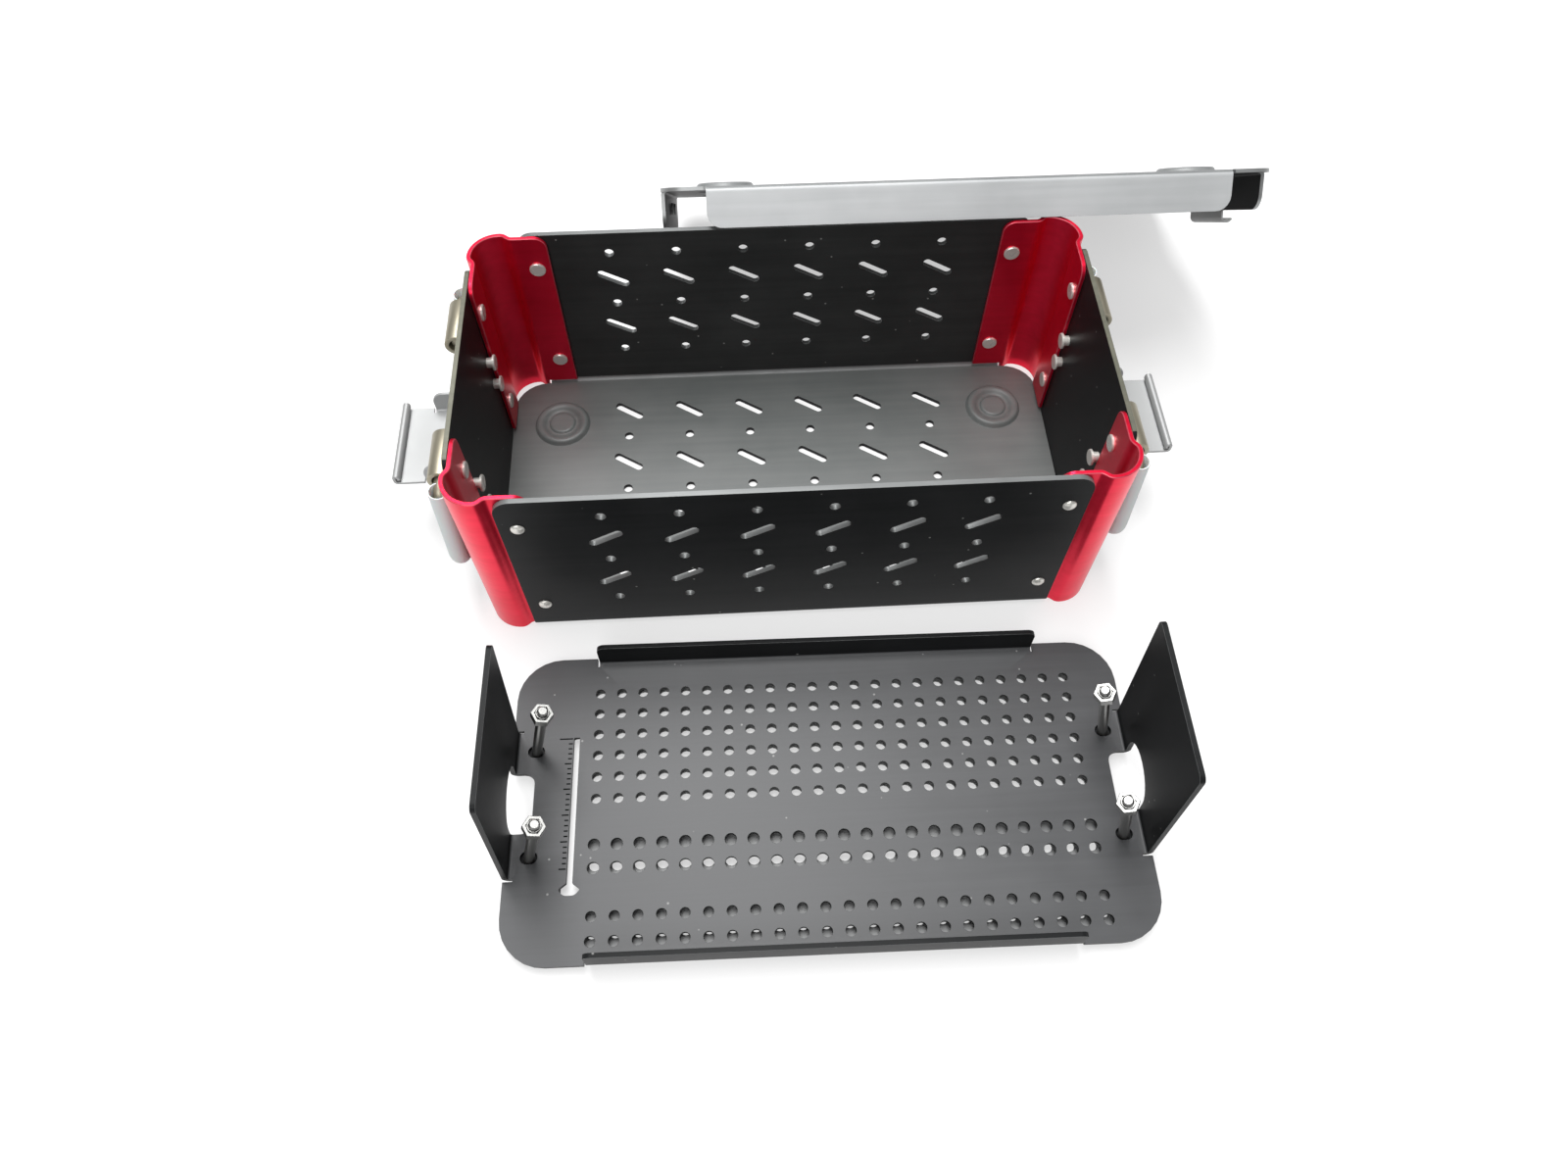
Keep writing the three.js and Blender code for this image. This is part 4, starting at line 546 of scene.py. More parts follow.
# Painted light: the floor that faces up gets a lighter black as painted sheen, the rest of each bend that
# still faces up the pale edge colour as a painted highlight, and the inner faces of the walls a lighter black
# as painted light.
for face in shell.faces:
    middle = face.calc_center_median()
    on_floor = middle.z < WALL_FOOT and abs(middle.y) < FLOOR_EDGE + BEND_HIGHLIGHT_START
    if face.material_index == PLAIN and face.normal.z > PAINTED_LIGHT_UP:
        face.material_index = SHELL_FLOOR_SHEEN if on_floor else EDGE
    elif face.material_index == PLAIN and abs(abs(middle.y) - WALL_INSIDE_Y) < 10 * NEAR:
        face.material_index = SHELL_INSIDE_LIGHT
hand_over(shell, "case_shell_sheet", "case", ["case_shell"],
          [BLACK, BLACK_EDGE, FLOOR_PAINTED_SHEEN, INSIDE_PAINTED_LIGHT])

# %% [markdown]
# ## End panels
# Each end is closed by its own flat plate, riveted between the corner posts. It
# carries the handle and the latch. The drawing is a standing plate for the right end,
# and the left one is its mirror image.

# %% Cut the end panels
PANEL_INSIDE_X, PANEL_SHEET = 121.5, 1.8
PANEL_HALF_WIDTH, PANEL_CORNER, PANEL_HOLE = 48.2, 4, 2.7

for end, sx in ENDS.items():
    panel = cut_blank([
        (-PANEL_HALF_WIDTH, 0, PANEL_CORNER), (PANEL_HALF_WIDTH, 0, PANEL_CORNER),
        (PANEL_HALF_WIDTH, WALL_TOP, PANEL_CORNER), (-PANEL_HALF_WIDTH, WALL_TOP, PANEL_CORNER)])
    for sy in (-1, 1):
        for z in RIVET_HEIGHTS:
            punch_round(panel, sy * RIVET_Y, z, PANEL_HOLE)
    fill_blank(panel)
    thicken(panel, PANEL_SHEET)
    deburr(panel, width=0.25)
    for face in panel.faces:
        if face.normal.y > 0.9:   # the top edge, which is bare between its bevels too
            face.material_index = EDGE
    stand = Matrix.Translation((PANEL_INSIDE_X, 0, 0)) @ STAND_YZ
    plate = bmesh.new()
    place_in(plate, panel, stand if sx > 0 else Matrix.Scale(-1, 4, (1, 0, 0)) @ stand)
    innermost = min(abs(vert.co.x) for vert in plate.verts)
    bmesh.ops.translate(plate, vec=(sx * (PANEL_INSIDE_X - innermost), 0, 0), verts=plate.verts[:])
    hand_over(plate, f"end_panel_sheet_{end}", "case", [f"end_panel_{end}"],
              [BLACK, PANEL_EDGE])

# %% [markdown]
# ## Corner posts
# The red posts are strips bent lengthwise on a press: a flange that lies inside the
# wall, a step outwards, a round corner, a step back and a flange inside the end panel.
# The corner and its two steps reach the table. The flanges stop above the bend of the
# floor. Joining boxes and tubes would leave seams in the red, so a vertical line of
# edges is swept along the plan of the strip, and then it gets its thickness on both
# sides of that line.

# %% Bend the corner posts
POST_SHEET = 1.7
POST_FLANGE_FOOT, POST_FLANGE_ROUND = 3.6, 5.0
POST_STEP_TURN, POST_STEP_RUN = 40, 5.1
POST_WALL_STEP, POST_PANEL_STEP = 2.3, 2.1
POST_CORNER_LINE = 11.35
POST_WALL_LINE_Y = 63.05
POST_WALL_FLANGE_END, POST_PANEL_FLANGE_END = 93.0, 34.4
POST_STEP_START_X = 106.2
POST_FULL_X, POST_FULL_Y = 106.3, 54.0   # beyond these the strip reaches the table
CORNER_STEPS, STEP_BEND_STEPS = 14, 5


def post_step(sweep, across, turn):
    """Two equal bends and a straight that shift the strip sideways over the step's run."""
    sine, less = math.sin(math.radians(POST_STEP_TURN)), 1 - math.cos(math.radians(POST_STEP_TURN))
    straight = (sine * across - less * POST_STEP_RUN) / (sine * sine - less * (1 - less))
    radius = (across - straight * sine) / (2 * less)
    sweep.bend(radius, turn, STEP_BEND_STEPS).straight(straight).bend(radius, -turn, STEP_BEND_STEPS)


for end, sx in ENDS.items():
    for front, sy in SIDES.items():
        post = bmesh.new()
        lift = bmesh.ops.create_vert(post, co=(POST_WALL_FLANGE_END, POST_WALL_LINE_Y, 0))["vert"]
        for height in (POST_FLANGE_FOOT, WALL_TOP - POST_FLANGE_FOOT):
            made = bmesh.ops.extrude_vert_indiv(post, verts=lift)
            lift = made["verts"]
            bmesh.ops.translate(post, vec=(0, 0, height), verts=lift)
        sweep = Sweep(post, post.edges[:], (POST_WALL_FLANGE_END, POST_WALL_LINE_Y, 0), (1, 0, 0), (0, 0, 1))
        sweep.straight(POST_STEP_START_X - POST_WALL_FLANGE_END)
        post_step(sweep, POST_WALL_STEP, POST_STEP_TURN)
        sweep.bend(POST_CORNER_LINE, -90, CORNER_STEPS)
        post_step(sweep, POST_PANEL_STEP, -POST_STEP_TURN)
        sweep.straight(sweep.at.y - POST_PANEL_FLANGE_END)
        middles = [(face, face.calc_center_median()) for face in post.faces]
        low = [face for face, middle in middles if middle.z < POST_FLANGE_FOOT
               and (middle.x < POST_FULL_X or middle.y < POST_FULL_Y)]
        bmesh.ops.delete(post, geom=low, context="FACES")
        weld(post, up=(1, 1, 0))
        tips = [vert for vert in post.verts if vert.co.z > WALL_TOP - NEAR
                and min(vert.co.x - POST_WALL_FLANGE_END, vert.co.y - POST_PANEL_FLANGE_END) < NEAR]
        bmesh.ops.bevel(post, geom=tips, offset=POST_FLANGE_ROUND, segments=ROUND_STEPS, profile=0.5,
                        affect="VERTICES", material=KEEP)
        thicken(post, POST_SHEET, shift=POST_SHEET / 2)
        deburr(post, width=0.3)
        corner = bmesh.new()
        place_in(corner, post, Matrix.Diagonal((sx, sy, 1, 1)))
        hand_over(corner, f"corner_post_strip_{front}_{end}", "case", [f"corner_post_{front}_{end}"],
                  [RED, RED_EDGE])

# %% [markdown]
# ## Turned pieces
# Rivets, studs, pins and the collars of nuts are turned or headed, so each of them is
# one half profile spun round its axis. Cylinders stacked on each other would do from
# far off, but a profile also gives the domes and chamfers that catch the light. It is
# a list of radius and height.

# %% Spin a profile
DOME_STEPS = 5


def spin_profile(profile, steps=24):
    """Spins a half profile round Z; it starts and ends on the axis, or closes on itself."""
    bm = bmesh.new()
    line = bmesh.ops.create_vert(bm, co=(profile[0][0], 0, profile[0][1]))["vert"]
    for before, point in zip(profile, profile[1:]):
        line = bmesh.ops.extrude_vert_indiv(bm, verts=line)["verts"]
        bmesh.ops.translate(bm, vec=(point[0] - before[0], 0, point[1] - before[1]), verts=line)
    bmesh.ops.spin(bm, geom=[*bm.verts, *bm.edges], cent=(0, 0, 0), axis=(0, 0, 1), dvec=(0, 0, 0),
                   angle=math.tau, space=ORIGIN, steps=steps, use_merge=True, use_duplicate=False)
    bmesh.ops.remove_doubles(bm, verts=bm.verts[:], dist=NEAR / 10)
    bmesh.ops.recalc_face_normals(bm, faces=bm.faces[:])
    return bm


def along_x(x, y, z):
    """Lays a piece that was spun round Z along X, its top outwards."""
    return Matrix.Translation((x, y, z)) @ Matrix.Rotation(math.radians(90), 4, "Y")


def along_y(x, y, z):
    """Lays a piece that was spun round Z along Y, its top to the rear."""
    return Matrix.Translation((x, y, z)) @ Matrix.Rotation(math.radians(-90), 4, "X")


def to_corner(bm, sx, sy):
    """Mirrors a piece drawn for the rear right corner into the one it is for."""
    mirrored = bmesh.new()
    place_in(mirrored, bm, Matrix.Diagonal((sx, sy, 1, 1)))
    return mirrored


def dome(radius, rise):
    """The profile of a flat dome, from its rim to its top."""
    angles = [math.pi / 2 * step / DOME_STEPS for step in range(DOME_STEPS + 1)]
    return [(radius * math.cos(a), rise * math.sin(a)) for a in angles]


print("steps from the rim of a dome to its top:", DOME_STEPS)

# %% [markdown]
# ## Rivets
# Every post is held by eight rivets. On the walls they show a low dome. On the end
# panels they are set flush, because a handle knuckle is rolled over them. Inside, each
# has a flat pale disc with a softened rim.

# %% Set the corner rivets
SHANK = 1.6
DISC, DISC_THICKNESS, DISC_RIM = 3.3, 0.9, 0.3
DOMED_HEAD = dome(2.6, 1.3)
FLUSH_HEAD = [(2.6, -0.2), (2.6, -0.1), (2.3, 0), (0, 0)]
HEAD_SINK = 0.1      # how far a head reaches into its sheet, so that no gap shows
WALL_GRIP, PANEL_GRIP = 3.8, 3.6
WALL_OUTSIDE_Y, PANEL_OUTSIDE_X = 66.0, 123.3


def rivet_profile(grip, head, shank=SHANK, disc=DISC):
    """A disc, a shank and a head; height 0 is the outer face of the sheets it grips."""
    foot = -grip - DISC_THICKNESS
    under_head = head[0][1] - HEAD_SINK
    return [(0, foot), (disc - DISC_RIM, foot), (disc, foot + DISC_RIM), (disc, -grip), (shank, -grip),
            (shank, under_head), (head[0][0], under_head), *head]


for end, sx in ENDS.items():
    for front, sy in SIDES.items():
        for height, z in zip(("low", "high"), RIVET_HEIGHTS):
            wall_rivet = bmesh.new()
            place_in(wall_rivet, spin_profile(rivet_profile(WALL_GRIP, DOMED_HEAD)),
                     along_y(RIVET_X, WALL_OUTSIDE_Y, z))
            hand_over(to_corner(wall_rivet, sx, sy), f"wall_rivet_turned_{front}_{end}_{height}", "case",
                      [f"wall_rivet_{front}_{end}_{height}"], [RIVET])
            panel_rivet = bmesh.new()
            place_in(panel_rivet, spin_profile(rivet_profile(PANEL_GRIP, FLUSH_HEAD)),
                     along_x(PANEL_OUTSIDE_X, RIVET_Y, z))
            hand_over(to_corner(panel_rivet, sx, sy), f"panel_rivet_turned_{front}_{end}_{height}", "case",
                      [f"panel_rivet_{front}_{end}_{height}"], [RIVET])

# %% [markdown]
# ## Handles
# A knuckle is a nickel plated strip: a leaf that is riveted to the panel and a roll
# that leaves a loose bearing for the wire. The leaf is a blank, and its upper edge is
# spun into the roll, as the maker's tool curls it.

# %% Roll the knuckles
KNUCKLE_STRIP = 1.7
KNUCKLE_LINE = 4.05
HANDLE_AXIS_X, HANDLE_AXIS_Z = 128.2, 71.0
ROLL_INNER_Y, ROLL_OUTER_Y = 22.5, 43.0
LEAF_INNER_Y, LEAF_OUTER_Y, LEAF_FOOT_Z, NECK_Z, LEAF_CORNER = 23.5, 37.5, 33.0, 66.0, 4
ROLL_DEGREES, ROLL_STEPS = 300, 24
LEAF_RIVET_Y, LEAF_RIVET_HEIGHTS = 30.5, (39, 52)
LEAF_GRIP, LEAF_SHANK = 6.1, 2.1
KNUCKLE_RIVET = 1

for end, sx in ENDS.items():
    for front, sy in SIDES.items():
        leaf_x = HANDLE_AXIS_X - KNUCKLE_LINE
        leaf = cut_blank([
            (LEAF_INNER_Y, LEAF_FOOT_Z, LEAF_CORNER), (LEAF_OUTER_Y, LEAF_FOOT_Z, LEAF_CORNER),
            (LEAF_OUTER_Y, NECK_Z), (ROLL_OUTER_Y, NECK_Z), (ROLL_OUTER_Y, HANDLE_AXIS_Z),
            (ROLL_INNER_Y, HANDLE_AXIS_Z), (ROLL_INNER_Y, NECK_Z), (LEAF_INNER_Y, NECK_Z)])
        knuckle = bmesh.new()
        place_in(knuckle, fill_blank(leaf), Matrix.Translation((leaf_x, 0, 0)) @ STAND_YZ)
        rim = edges_where(knuckle, lambda co: co.z > HANDLE_AXIS_Z - NEAR)
        roll = Sweep(knuckle, rim, (leaf_x, 0, HANDLE_AXIS_Z), (0, 0, 1), (0, 1, 0))
        roll.bend(KNUCKLE_LINE, ROLL_DEGREES, ROLL_STEPS)
        weld(knuckle)
        thicken(knuckle, KNUCKLE_STRIP, shift=KNUCKLE_STRIP / 2)
        deburr(knuckle, width=0.2, material=KEEP, segments=2)
        for z in LEAF_RIVET_HEIGHTS:
            rivet = spin_profile(rivet_profile(LEAF_GRIP, DOMED_HEAD, shank=LEAF_SHANK))
            for face in rivet.faces:
                face.material_index = KNUCKLE_RIVET
            place_in(knuckle, rivet, along_x(PANEL_OUTSIDE_X + KNUCKLE_STRIP, LEAF_RIVET_Y, z))
        hand_over(to_corner(knuckle, sx, sy), f"knuckle_rolled_{front}_{end}", "case",
                  [f"handle_knuckle_{front}_{end}"], [NICKEL, RIVET])

# %% [markdown]
# ### Bails
# The bail is one bent wire with a silicone tube pulled over it. The tube's bore is wider
# than the wire, so its mouth shows a gap. A bevelled curve could make both. Here a ring
# of edges goes through the same straights and bends as the sheets, which keeps every
# bend at its real radius. Both are bent in an upright plane and then hang a few degrees
# off the panel.

# %% Bail sizes and how it is bent
WIRE_RADIUS, WIRE_START_Y = 2.3, 24.0
ARM_Y, BAIL_LOW_Z = 48.6, 23.2
TOP_BEND, TOP_BEND_STEPS = 4.0, 8
LOW_BEND, LOW_BEND_STEPS = 10.0, 10
LOW_STRAIGHT = 2 * (ARM_Y - LOW_BEND)
SLEEVE_RADIUS, SLEEVE_WALL, SLEEVE_TOP_Z, SLEEVE_STEPS = 3.8, 0.5, 73.0, 24
BAIL_HANG_DEGREES = 4.0
ACROSS_X = (-1, 0, 0)

to_axis = Matrix.Translation((HANDLE_AXIS_X, 0, HANDLE_AXIS_Z))
hang = to_axis @ Matrix.Rotation(math.radians(-BAIL_HANG_DEGREES), 4, "Y") @ to_axis.inverted()


def ring_of_edges(radius, at, facing, steps=20):
    """The open ring of edges that a wire or a tube is drawn from."""
    bm = bmesh.new()
    turn = Vector(facing).to_track_quat("Z", "Y").to_matrix().to_4x4()
    bmesh.ops.create_circle(bm, segments=steps, radius=radius, matrix=Matrix.Translation(at) @ turn)
    return bm


def bend_bail(sweep, arm):
    """Down one arm, along the grip and up the other arm."""
    sweep.straight(arm).bend(LOW_BEND, 90, LOW_BEND_STEPS).straight(LOW_STRAIGHT)
    sweep.bend(LOW_BEND, 90, LOW_BEND_STEPS).straight(arm)


print("bail, across its arms:", 2 * (ARM_Y + WIRE_RADIUS), "mm")

# %% Bend the bails and pull on their sleeves
for end, sx in ENDS.items():
    start = (HANDLE_AXIS_X, WIRE_START_Y, HANDLE_AXIS_Z)
    wire = ring_of_edges(WIRE_RADIUS, start, (0, 1, 0))
    first = wire.edges[:]
    in_knuckle = ARM_Y - TOP_BEND - WIRE_START_Y
    sweep = Sweep(wire, first, start, (0, 1, 0), ACROSS_X)
    sweep.straight(in_knuckle).bend(TOP_BEND, 90, TOP_BEND_STEPS)
    bend_bail(sweep, HANDLE_AXIS_Z - TOP_BEND - BAIL_LOW_Z - LOW_BEND)
    sweep.bend(TOP_BEND, 90, TOP_BEND_STEPS).straight(in_knuckle)
    for mouth in (first, sweep.edges):
        bmesh.ops.contextual_create(wire, geom=mouth)
    weld(wire)
    deburr(wire, width=0.4, material=KEEP, segments=2)
    bmesh.ops.transform(wire, matrix=hang, verts=wire.verts[:])
    hand_over(to_corner(wire, sx, 1), f"bail_wire_{end}", f"handle_{end}", [f"handle_wire_{end}"],
              [NICKEL])

    start = (HANDLE_AXIS_X, ARM_Y, SLEEVE_TOP_Z)
    tube = ring_of_edges(SLEEVE_RADIUS, start, (0, 0, -1), SLEEVE_STEPS)
    sweep = Sweep(tube, tube.edges[:], start, (0, 0, -1), ACROSS_X)
    bend_bail(sweep, SLEEVE_TOP_Z - BAIL_LOW_Z - LOW_BEND)
    weld(tube)
    thicken(tube, SLEEVE_WALL)
    deburr(tube, width=0.15, material=KEEP, segments=2)
    bmesh.ops.transform(tube, matrix=hang, verts=tube.verts[:])
    hand_over(to_corner(tube, sx, 1), f"bail_sleeve_{end}", f"handle_{end}", [f"handle_sleeve_{end}"],
              [SILICONE])

# %% [markdown]
# ## Latches
# The base has two ears that carry the pin. The lever is a stamped tray: two cheeks are
# folded up for the pin, and its free end is turned up and folded back into a thin lip
# that grips the keeper on the lid. A relief is a small notch cut beside a bend, so that
# the sheet can fold there without tearing. Each part is drawn for the right end and
# mirrored for the left.

# %% Latch sizes
LATCH_SHEET, LATCH_BEND, LATCH_HOLE = 1.2, 0.8, 1.6
PIN_X, PIN_Z = 127.5, 45.5
PIN_HALF = [(0, 20.1), (2.3, 20.1), (2.5, 19.9), (2.5, 19.1), (1.5, 19.1)]
BASE_LOW_Z, BASE_HIGH_Z, BASE_CORNER, BASE_HOLE_HEIGHTS = 30, 60, 3, (55, 34)
EAR_Y, EAR_TIP_X, EAR_HALF_HEIGHT, EAR_ROUND = 14.0, 133.8, 4.3, 4.2
EAR_FOOT_X = PANEL_OUTSIDE_X + 0.4   # inside the base's own thickness
LEVER_HALF_WIDTH, LEVER_HEEL_X, LEVER_UNDER_Z = 19.0, 124.8, 37.5
LEVER_TRAY_Z = LEVER_UNDER_Z + LATCH_SHEET
LEVER_FOLD_Y = LEVER_HALF_WIDTH - LATCH_SHEET - LATCH_BEND
CHEEK_END_X, CHEEK_TOP_Z, CHEEK_END_ROUND, CHEEK_HEEL_ROUND = 144.5, 48.2, 5, 2.6
LIP_X, LIP_TOP_Z, LIP_BEND, HEM_BEND, HEM_LENGTH = 155.8, 41.2, 0.6, 0.25, 1.2
RELIEF, SHALLOW_RELIEF = 0.8, 0.6
print("pin axis", round(PIN_X - PANEL_OUTSIDE_X, 1), "mm off the panel and", PIN_Z, "mm above the table")

# %% Stamp the latch base
def latch_base():
    """The base plate with its two ears, for the right end."""
    base = bmesh.new()
    plate = cut_blank([
        (-EAR_Y, BASE_LOW_Z, BASE_CORNER), (EAR_Y, BASE_LOW_Z, BASE_CORNER),
        (EAR_Y, BASE_HIGH_Z, BASE_CORNER), (-EAR_Y, BASE_HIGH_Z, BASE_CORNER)])
    for z in BASE_HOLE_HEIGHTS:
        punch_round(plate, 0, z, LATCH_HOLE)
    on_panel = Matrix.Translation((PANEL_OUTSIDE_X + LATCH_SHEET, 0, 0)) @ STAND_YZ
    place_in(base, thicken(fill_blank(plate), LATCH_SHEET), on_panel)
    for sy in (-1, 1):
        low_z, high_z = PIN_Z - EAR_HALF_HEIGHT, PIN_Z + EAR_HALF_HEIGHT
        ear = cut_blank([
            (EAR_FOOT_X, low_z), (EAR_TIP_X, low_z, EAR_ROUND),
            (EAR_TIP_X, high_z, EAR_ROUND), (EAR_FOOT_X, high_z)])
        punch_round(ear, PIN_X, PIN_Z, LATCH_HOLE)
        upright = Matrix.Translation((0, sy * (EAR_Y - LATCH_SHEET / 2) + LATCH_SHEET / 2, 0)) @ STAND_XZ
        ear_sheet = thicken(fill_blank(ear), LATCH_SHEET)
        place_in(base, ear_sheet, upright @ Matrix.Translation((0, 0, LATCH_SHEET)))
    return deburr(base, width=0.2, material=KEEP, segments=2)


print("base plate:", 2 * EAR_Y, "x", BASE_HIGH_Z - BASE_LOW_Z, "mm")

# %% Stamp and fold the lever
def latch_lever():
    """The open lever, for the right end."""
    lever = bmesh.new()
    relief_x, relief_y = CHEEK_END_X + RELIEF, LEVER_FOLD_Y - SHALLOW_RELIEF
    outline = [(LEVER_HEEL_X, LEVER_FOLD_Y), (CHEEK_END_X, LEVER_FOLD_Y), (CHEEK_END_X, relief_y),
               (relief_x, relief_y), (relief_x, LEVER_HALF_WIDTH), (LIP_X, LEVER_HALF_WIDTH)]
    tray = cut_blank([(x, -y) for x, y in outline] + outline[::-1])
    place_in(lever, fill_blank(tray), Matrix.Translation((0, 0, LEVER_TRAY_Z)))
    for sy in (-1, 1):
        rim = edges_where(lever, lambda co: abs(co.y - sy * LEVER_FOLD_Y) < NEAR
                          and co.x < CHEEK_END_X + NEAR)
        fold = Sweep(lever, rim, (0, sy * LEVER_FOLD_Y, LEVER_TRAY_Z), (0, sy, 0), (sy, 0, 0))
        fold.bend(LATCH_BEND, 90, 4)
        cheek_foot = LEVER_TRAY_Z + LATCH_BEND
        cheek = cut_blank([
            (LEVER_HEEL_X, cheek_foot), (CHEEK_END_X, cheek_foot),
            (CHEEK_END_X, CHEEK_TOP_Z, CHEEK_END_ROUND), (LEVER_HEEL_X, CHEEK_TOP_Z, CHEEK_HEEL_ROUND)])
        punch_round(cheek, PIN_X, PIN_Z, LATCH_HOLE)
        stand = Matrix.Translation((0, sy * (LEVER_HALF_WIDTH - LATCH_SHEET), 0)) @ STAND_XZ
        place_in(lever, fill_blank(cheek), stand)
    rim = edges_where(lever, lambda co: co.x > LIP_X - NEAR)
    lip = Sweep(lever, rim, (LIP_X, 0, LEVER_TRAY_Z), (1, 0, 0), (0, -1, 0)).bend(LIP_BEND, 90, 4)
    lip.straight(LIP_TOP_Z - LEVER_TRAY_Z - LIP_BEND).bend(HEM_BEND, 180, 6).straight(HEM_LENGTH)
    weld(lever, up=(0, 0, 1))
    thicken(lever, LATCH_SHEET)
    return deburr(lever, width=0.15, material=KEEP)


print("lever:", LIP_X - LEVER_HEEL_X, "mm long and", 2 * LEVER_HALF_WIDTH, "mm wide")

# %% Turn the pins and fit both latches
for end, sx in ENDS.items():
    hand_over(to_corner(latch_base(), sx, 1), f"latch_base_stamped_{end}", "case", [f"latch_base_{end}"],
              [STEEL])

    pin = bmesh.new()
    other_half = [(radius, -height) for radius, height in PIN_HALF[::-1]]
    place_in(pin, spin_profile(PIN_HALF + other_half), along_y(PIN_X, 0, PIN_Z))
    hand_over(to_corner(pin, sx, 1), f"latch_pin_turned_{end}", "case", [f"latch_pin_{end}"],
              [BRIGHT])

    hand_over(to_corner(latch_lever(), sx, 1), f"latch_lever_stamped_{end}", f"latch_{end}",
              [f"latch_lever_{end}"], [STEEL])

# %% [markdown]
# ## Lid
# The lid is a shallow tray of grey anodised sheet, with four flanges and open corners.
# It could be drawn where it leans, but square shapes are easier to draw square. So it
# is drawn flat, as if it lay closed on the case, and one matrix leans it on the rear
# wall. The four stacking rings are the same as in the floor, pressed outwards. The
# inside is drawn black as painted shade, after the one inner face that shows, and the
# top a darker grey than the flanges, also as painted shade.

# %% Lid sizes
LID_LEAN = 0.7164858459792414        # radians, at which it touches both the wall and the table
LID_PLACE = Matrix.Translation((79, 123.99616, 55.62727)) @ Matrix.Rotation(-LID_LEAN, 4, "X")
LID_SHEET, LID_TOP_Z, LID_RIM_Z, LID_BEND = 1.5, 1.5, -14.5, 2.5
LID_X, LID_Y, LID_CORNER, LONG_HALF, END_HALF = 125.2, 67.9, 10.5, 106.7, 56.0
LID_FOLD_X, LID_FOLD_Y = LID_X - LID_BEND, LID_Y - LID_BEND
LID_FLANGE_TOP, LID_FLANGE_CORNER = LID_TOP_Z - LID_BEND, 6
LID_INSIDE_SHADE, LID_TOP_SHADE = 2, 3       # the lid's other two materials
LID_TOP_UP = 0.6                     # faces that turn up this much belong to the lid's top
print("the lid leans at", round(math.degrees(LID_LEAN), 1), "degrees")

# %% Fold the lid
lid = bmesh.new()
lid_blank = cut_blank(mirrored_corners([
    (LID_FOLD_X, END_HALF), (LID_FOLD_X - RELIEF, END_HALF), (LID_FOLD_X - RELIEF, END_HALF + RELIEF),
    (LID_X, END_HALF + RELIEF), (LID_X, LID_Y, LID_CORNER), (LONG_HALF + RELIEF, LID_Y),
    (LONG_HALF + RELIEF, LID_FOLD_Y - RELIEF), (LONG_HALF, LID_FOLD_Y - RELIEF), (LONG_HALF, LID_FOLD_Y)]))
place_in(lid, blank_with_rings(lid_blank), Matrix.Translation((0, 0, LID_TOP_Z)))
for side in (-1, 1):
    rim = edges_where(lid, lambda co: abs(co.y - side * LID_FOLD_Y) < NEAR and abs(co.x) < LONG_HALF + NEAR)
    Sweep(lid, rim, (0, side * LID_FOLD_Y, LID_TOP_Z), (0, side, 0), (-side, 0, 0)).bend(LID_BEND, 90, 8)
    rim = edges_where(lid, lambda co: abs(co.x - side * LID_FOLD_X) < NEAR and abs(co.y) < END_HALF + NEAR)
    Sweep(lid, rim, (side * LID_FOLD_X, 0, LID_TOP_Z), (side, 0, 0), (0, side, 0)).bend(LID_BEND, 90, 8)
    for half, stand in ((LONG_HALF, Matrix.Translation((0, side * LID_Y, 0)) @ STAND_XZ),
                        (END_HALF, Matrix.Translation((side * LID_X, 0, 0)) @ STAND_YZ)):
        flange = cut_blank([
            (-half, LID_RIM_Z, LID_FLANGE_CORNER), (half, LID_RIM_Z, LID_FLANGE_CORNER),
            (half, LID_FLANGE_TOP), (-half, LID_FLANGE_TOP)])
        place_in(lid, fill_blank(flange), stand)
weld(lid, up=(0, 0, 1))
# Painted shade: the back faces, the lid's inside, get black.
thicken(lid, LID_SHEET, behind=LID_INSIDE_SHADE, rim=EDGE)
deburr(lid, width=0.2)
# Painted shade: the faces of the lid's top get the darker grey.
for face in lid.faces:
    on_top = face.normal.z > LID_TOP_UP or face.calc_center_median().z > LID_TOP_Z
    if face.material_index == PLAIN and on_top:
        face.material_index = LID_TOP_SHADE
print("dark inner faces of the lid:", sum(face.material_index == LID_INSIDE_SHADE for face in lid.faces))
leaning = bmesh.new()
place_in(leaning, lid, LID_PLACE)
hand_over(leaning, "lid_shell_sheet", "lid", ["lid_shell"], [GREY, GREY_EDGE, BLACK, LID_TOP_PAINTED_SHADE])

# %% [markdown]
# ### Keepers
# A keeper is a strip on each end of the lid with a hooked lower end, which the lip of a
# latch pulls on. Seen from the side it is one line with a curl, so one edge as wide as
# the strip is swept along that line and then thickened. Its two rivets are part of it.

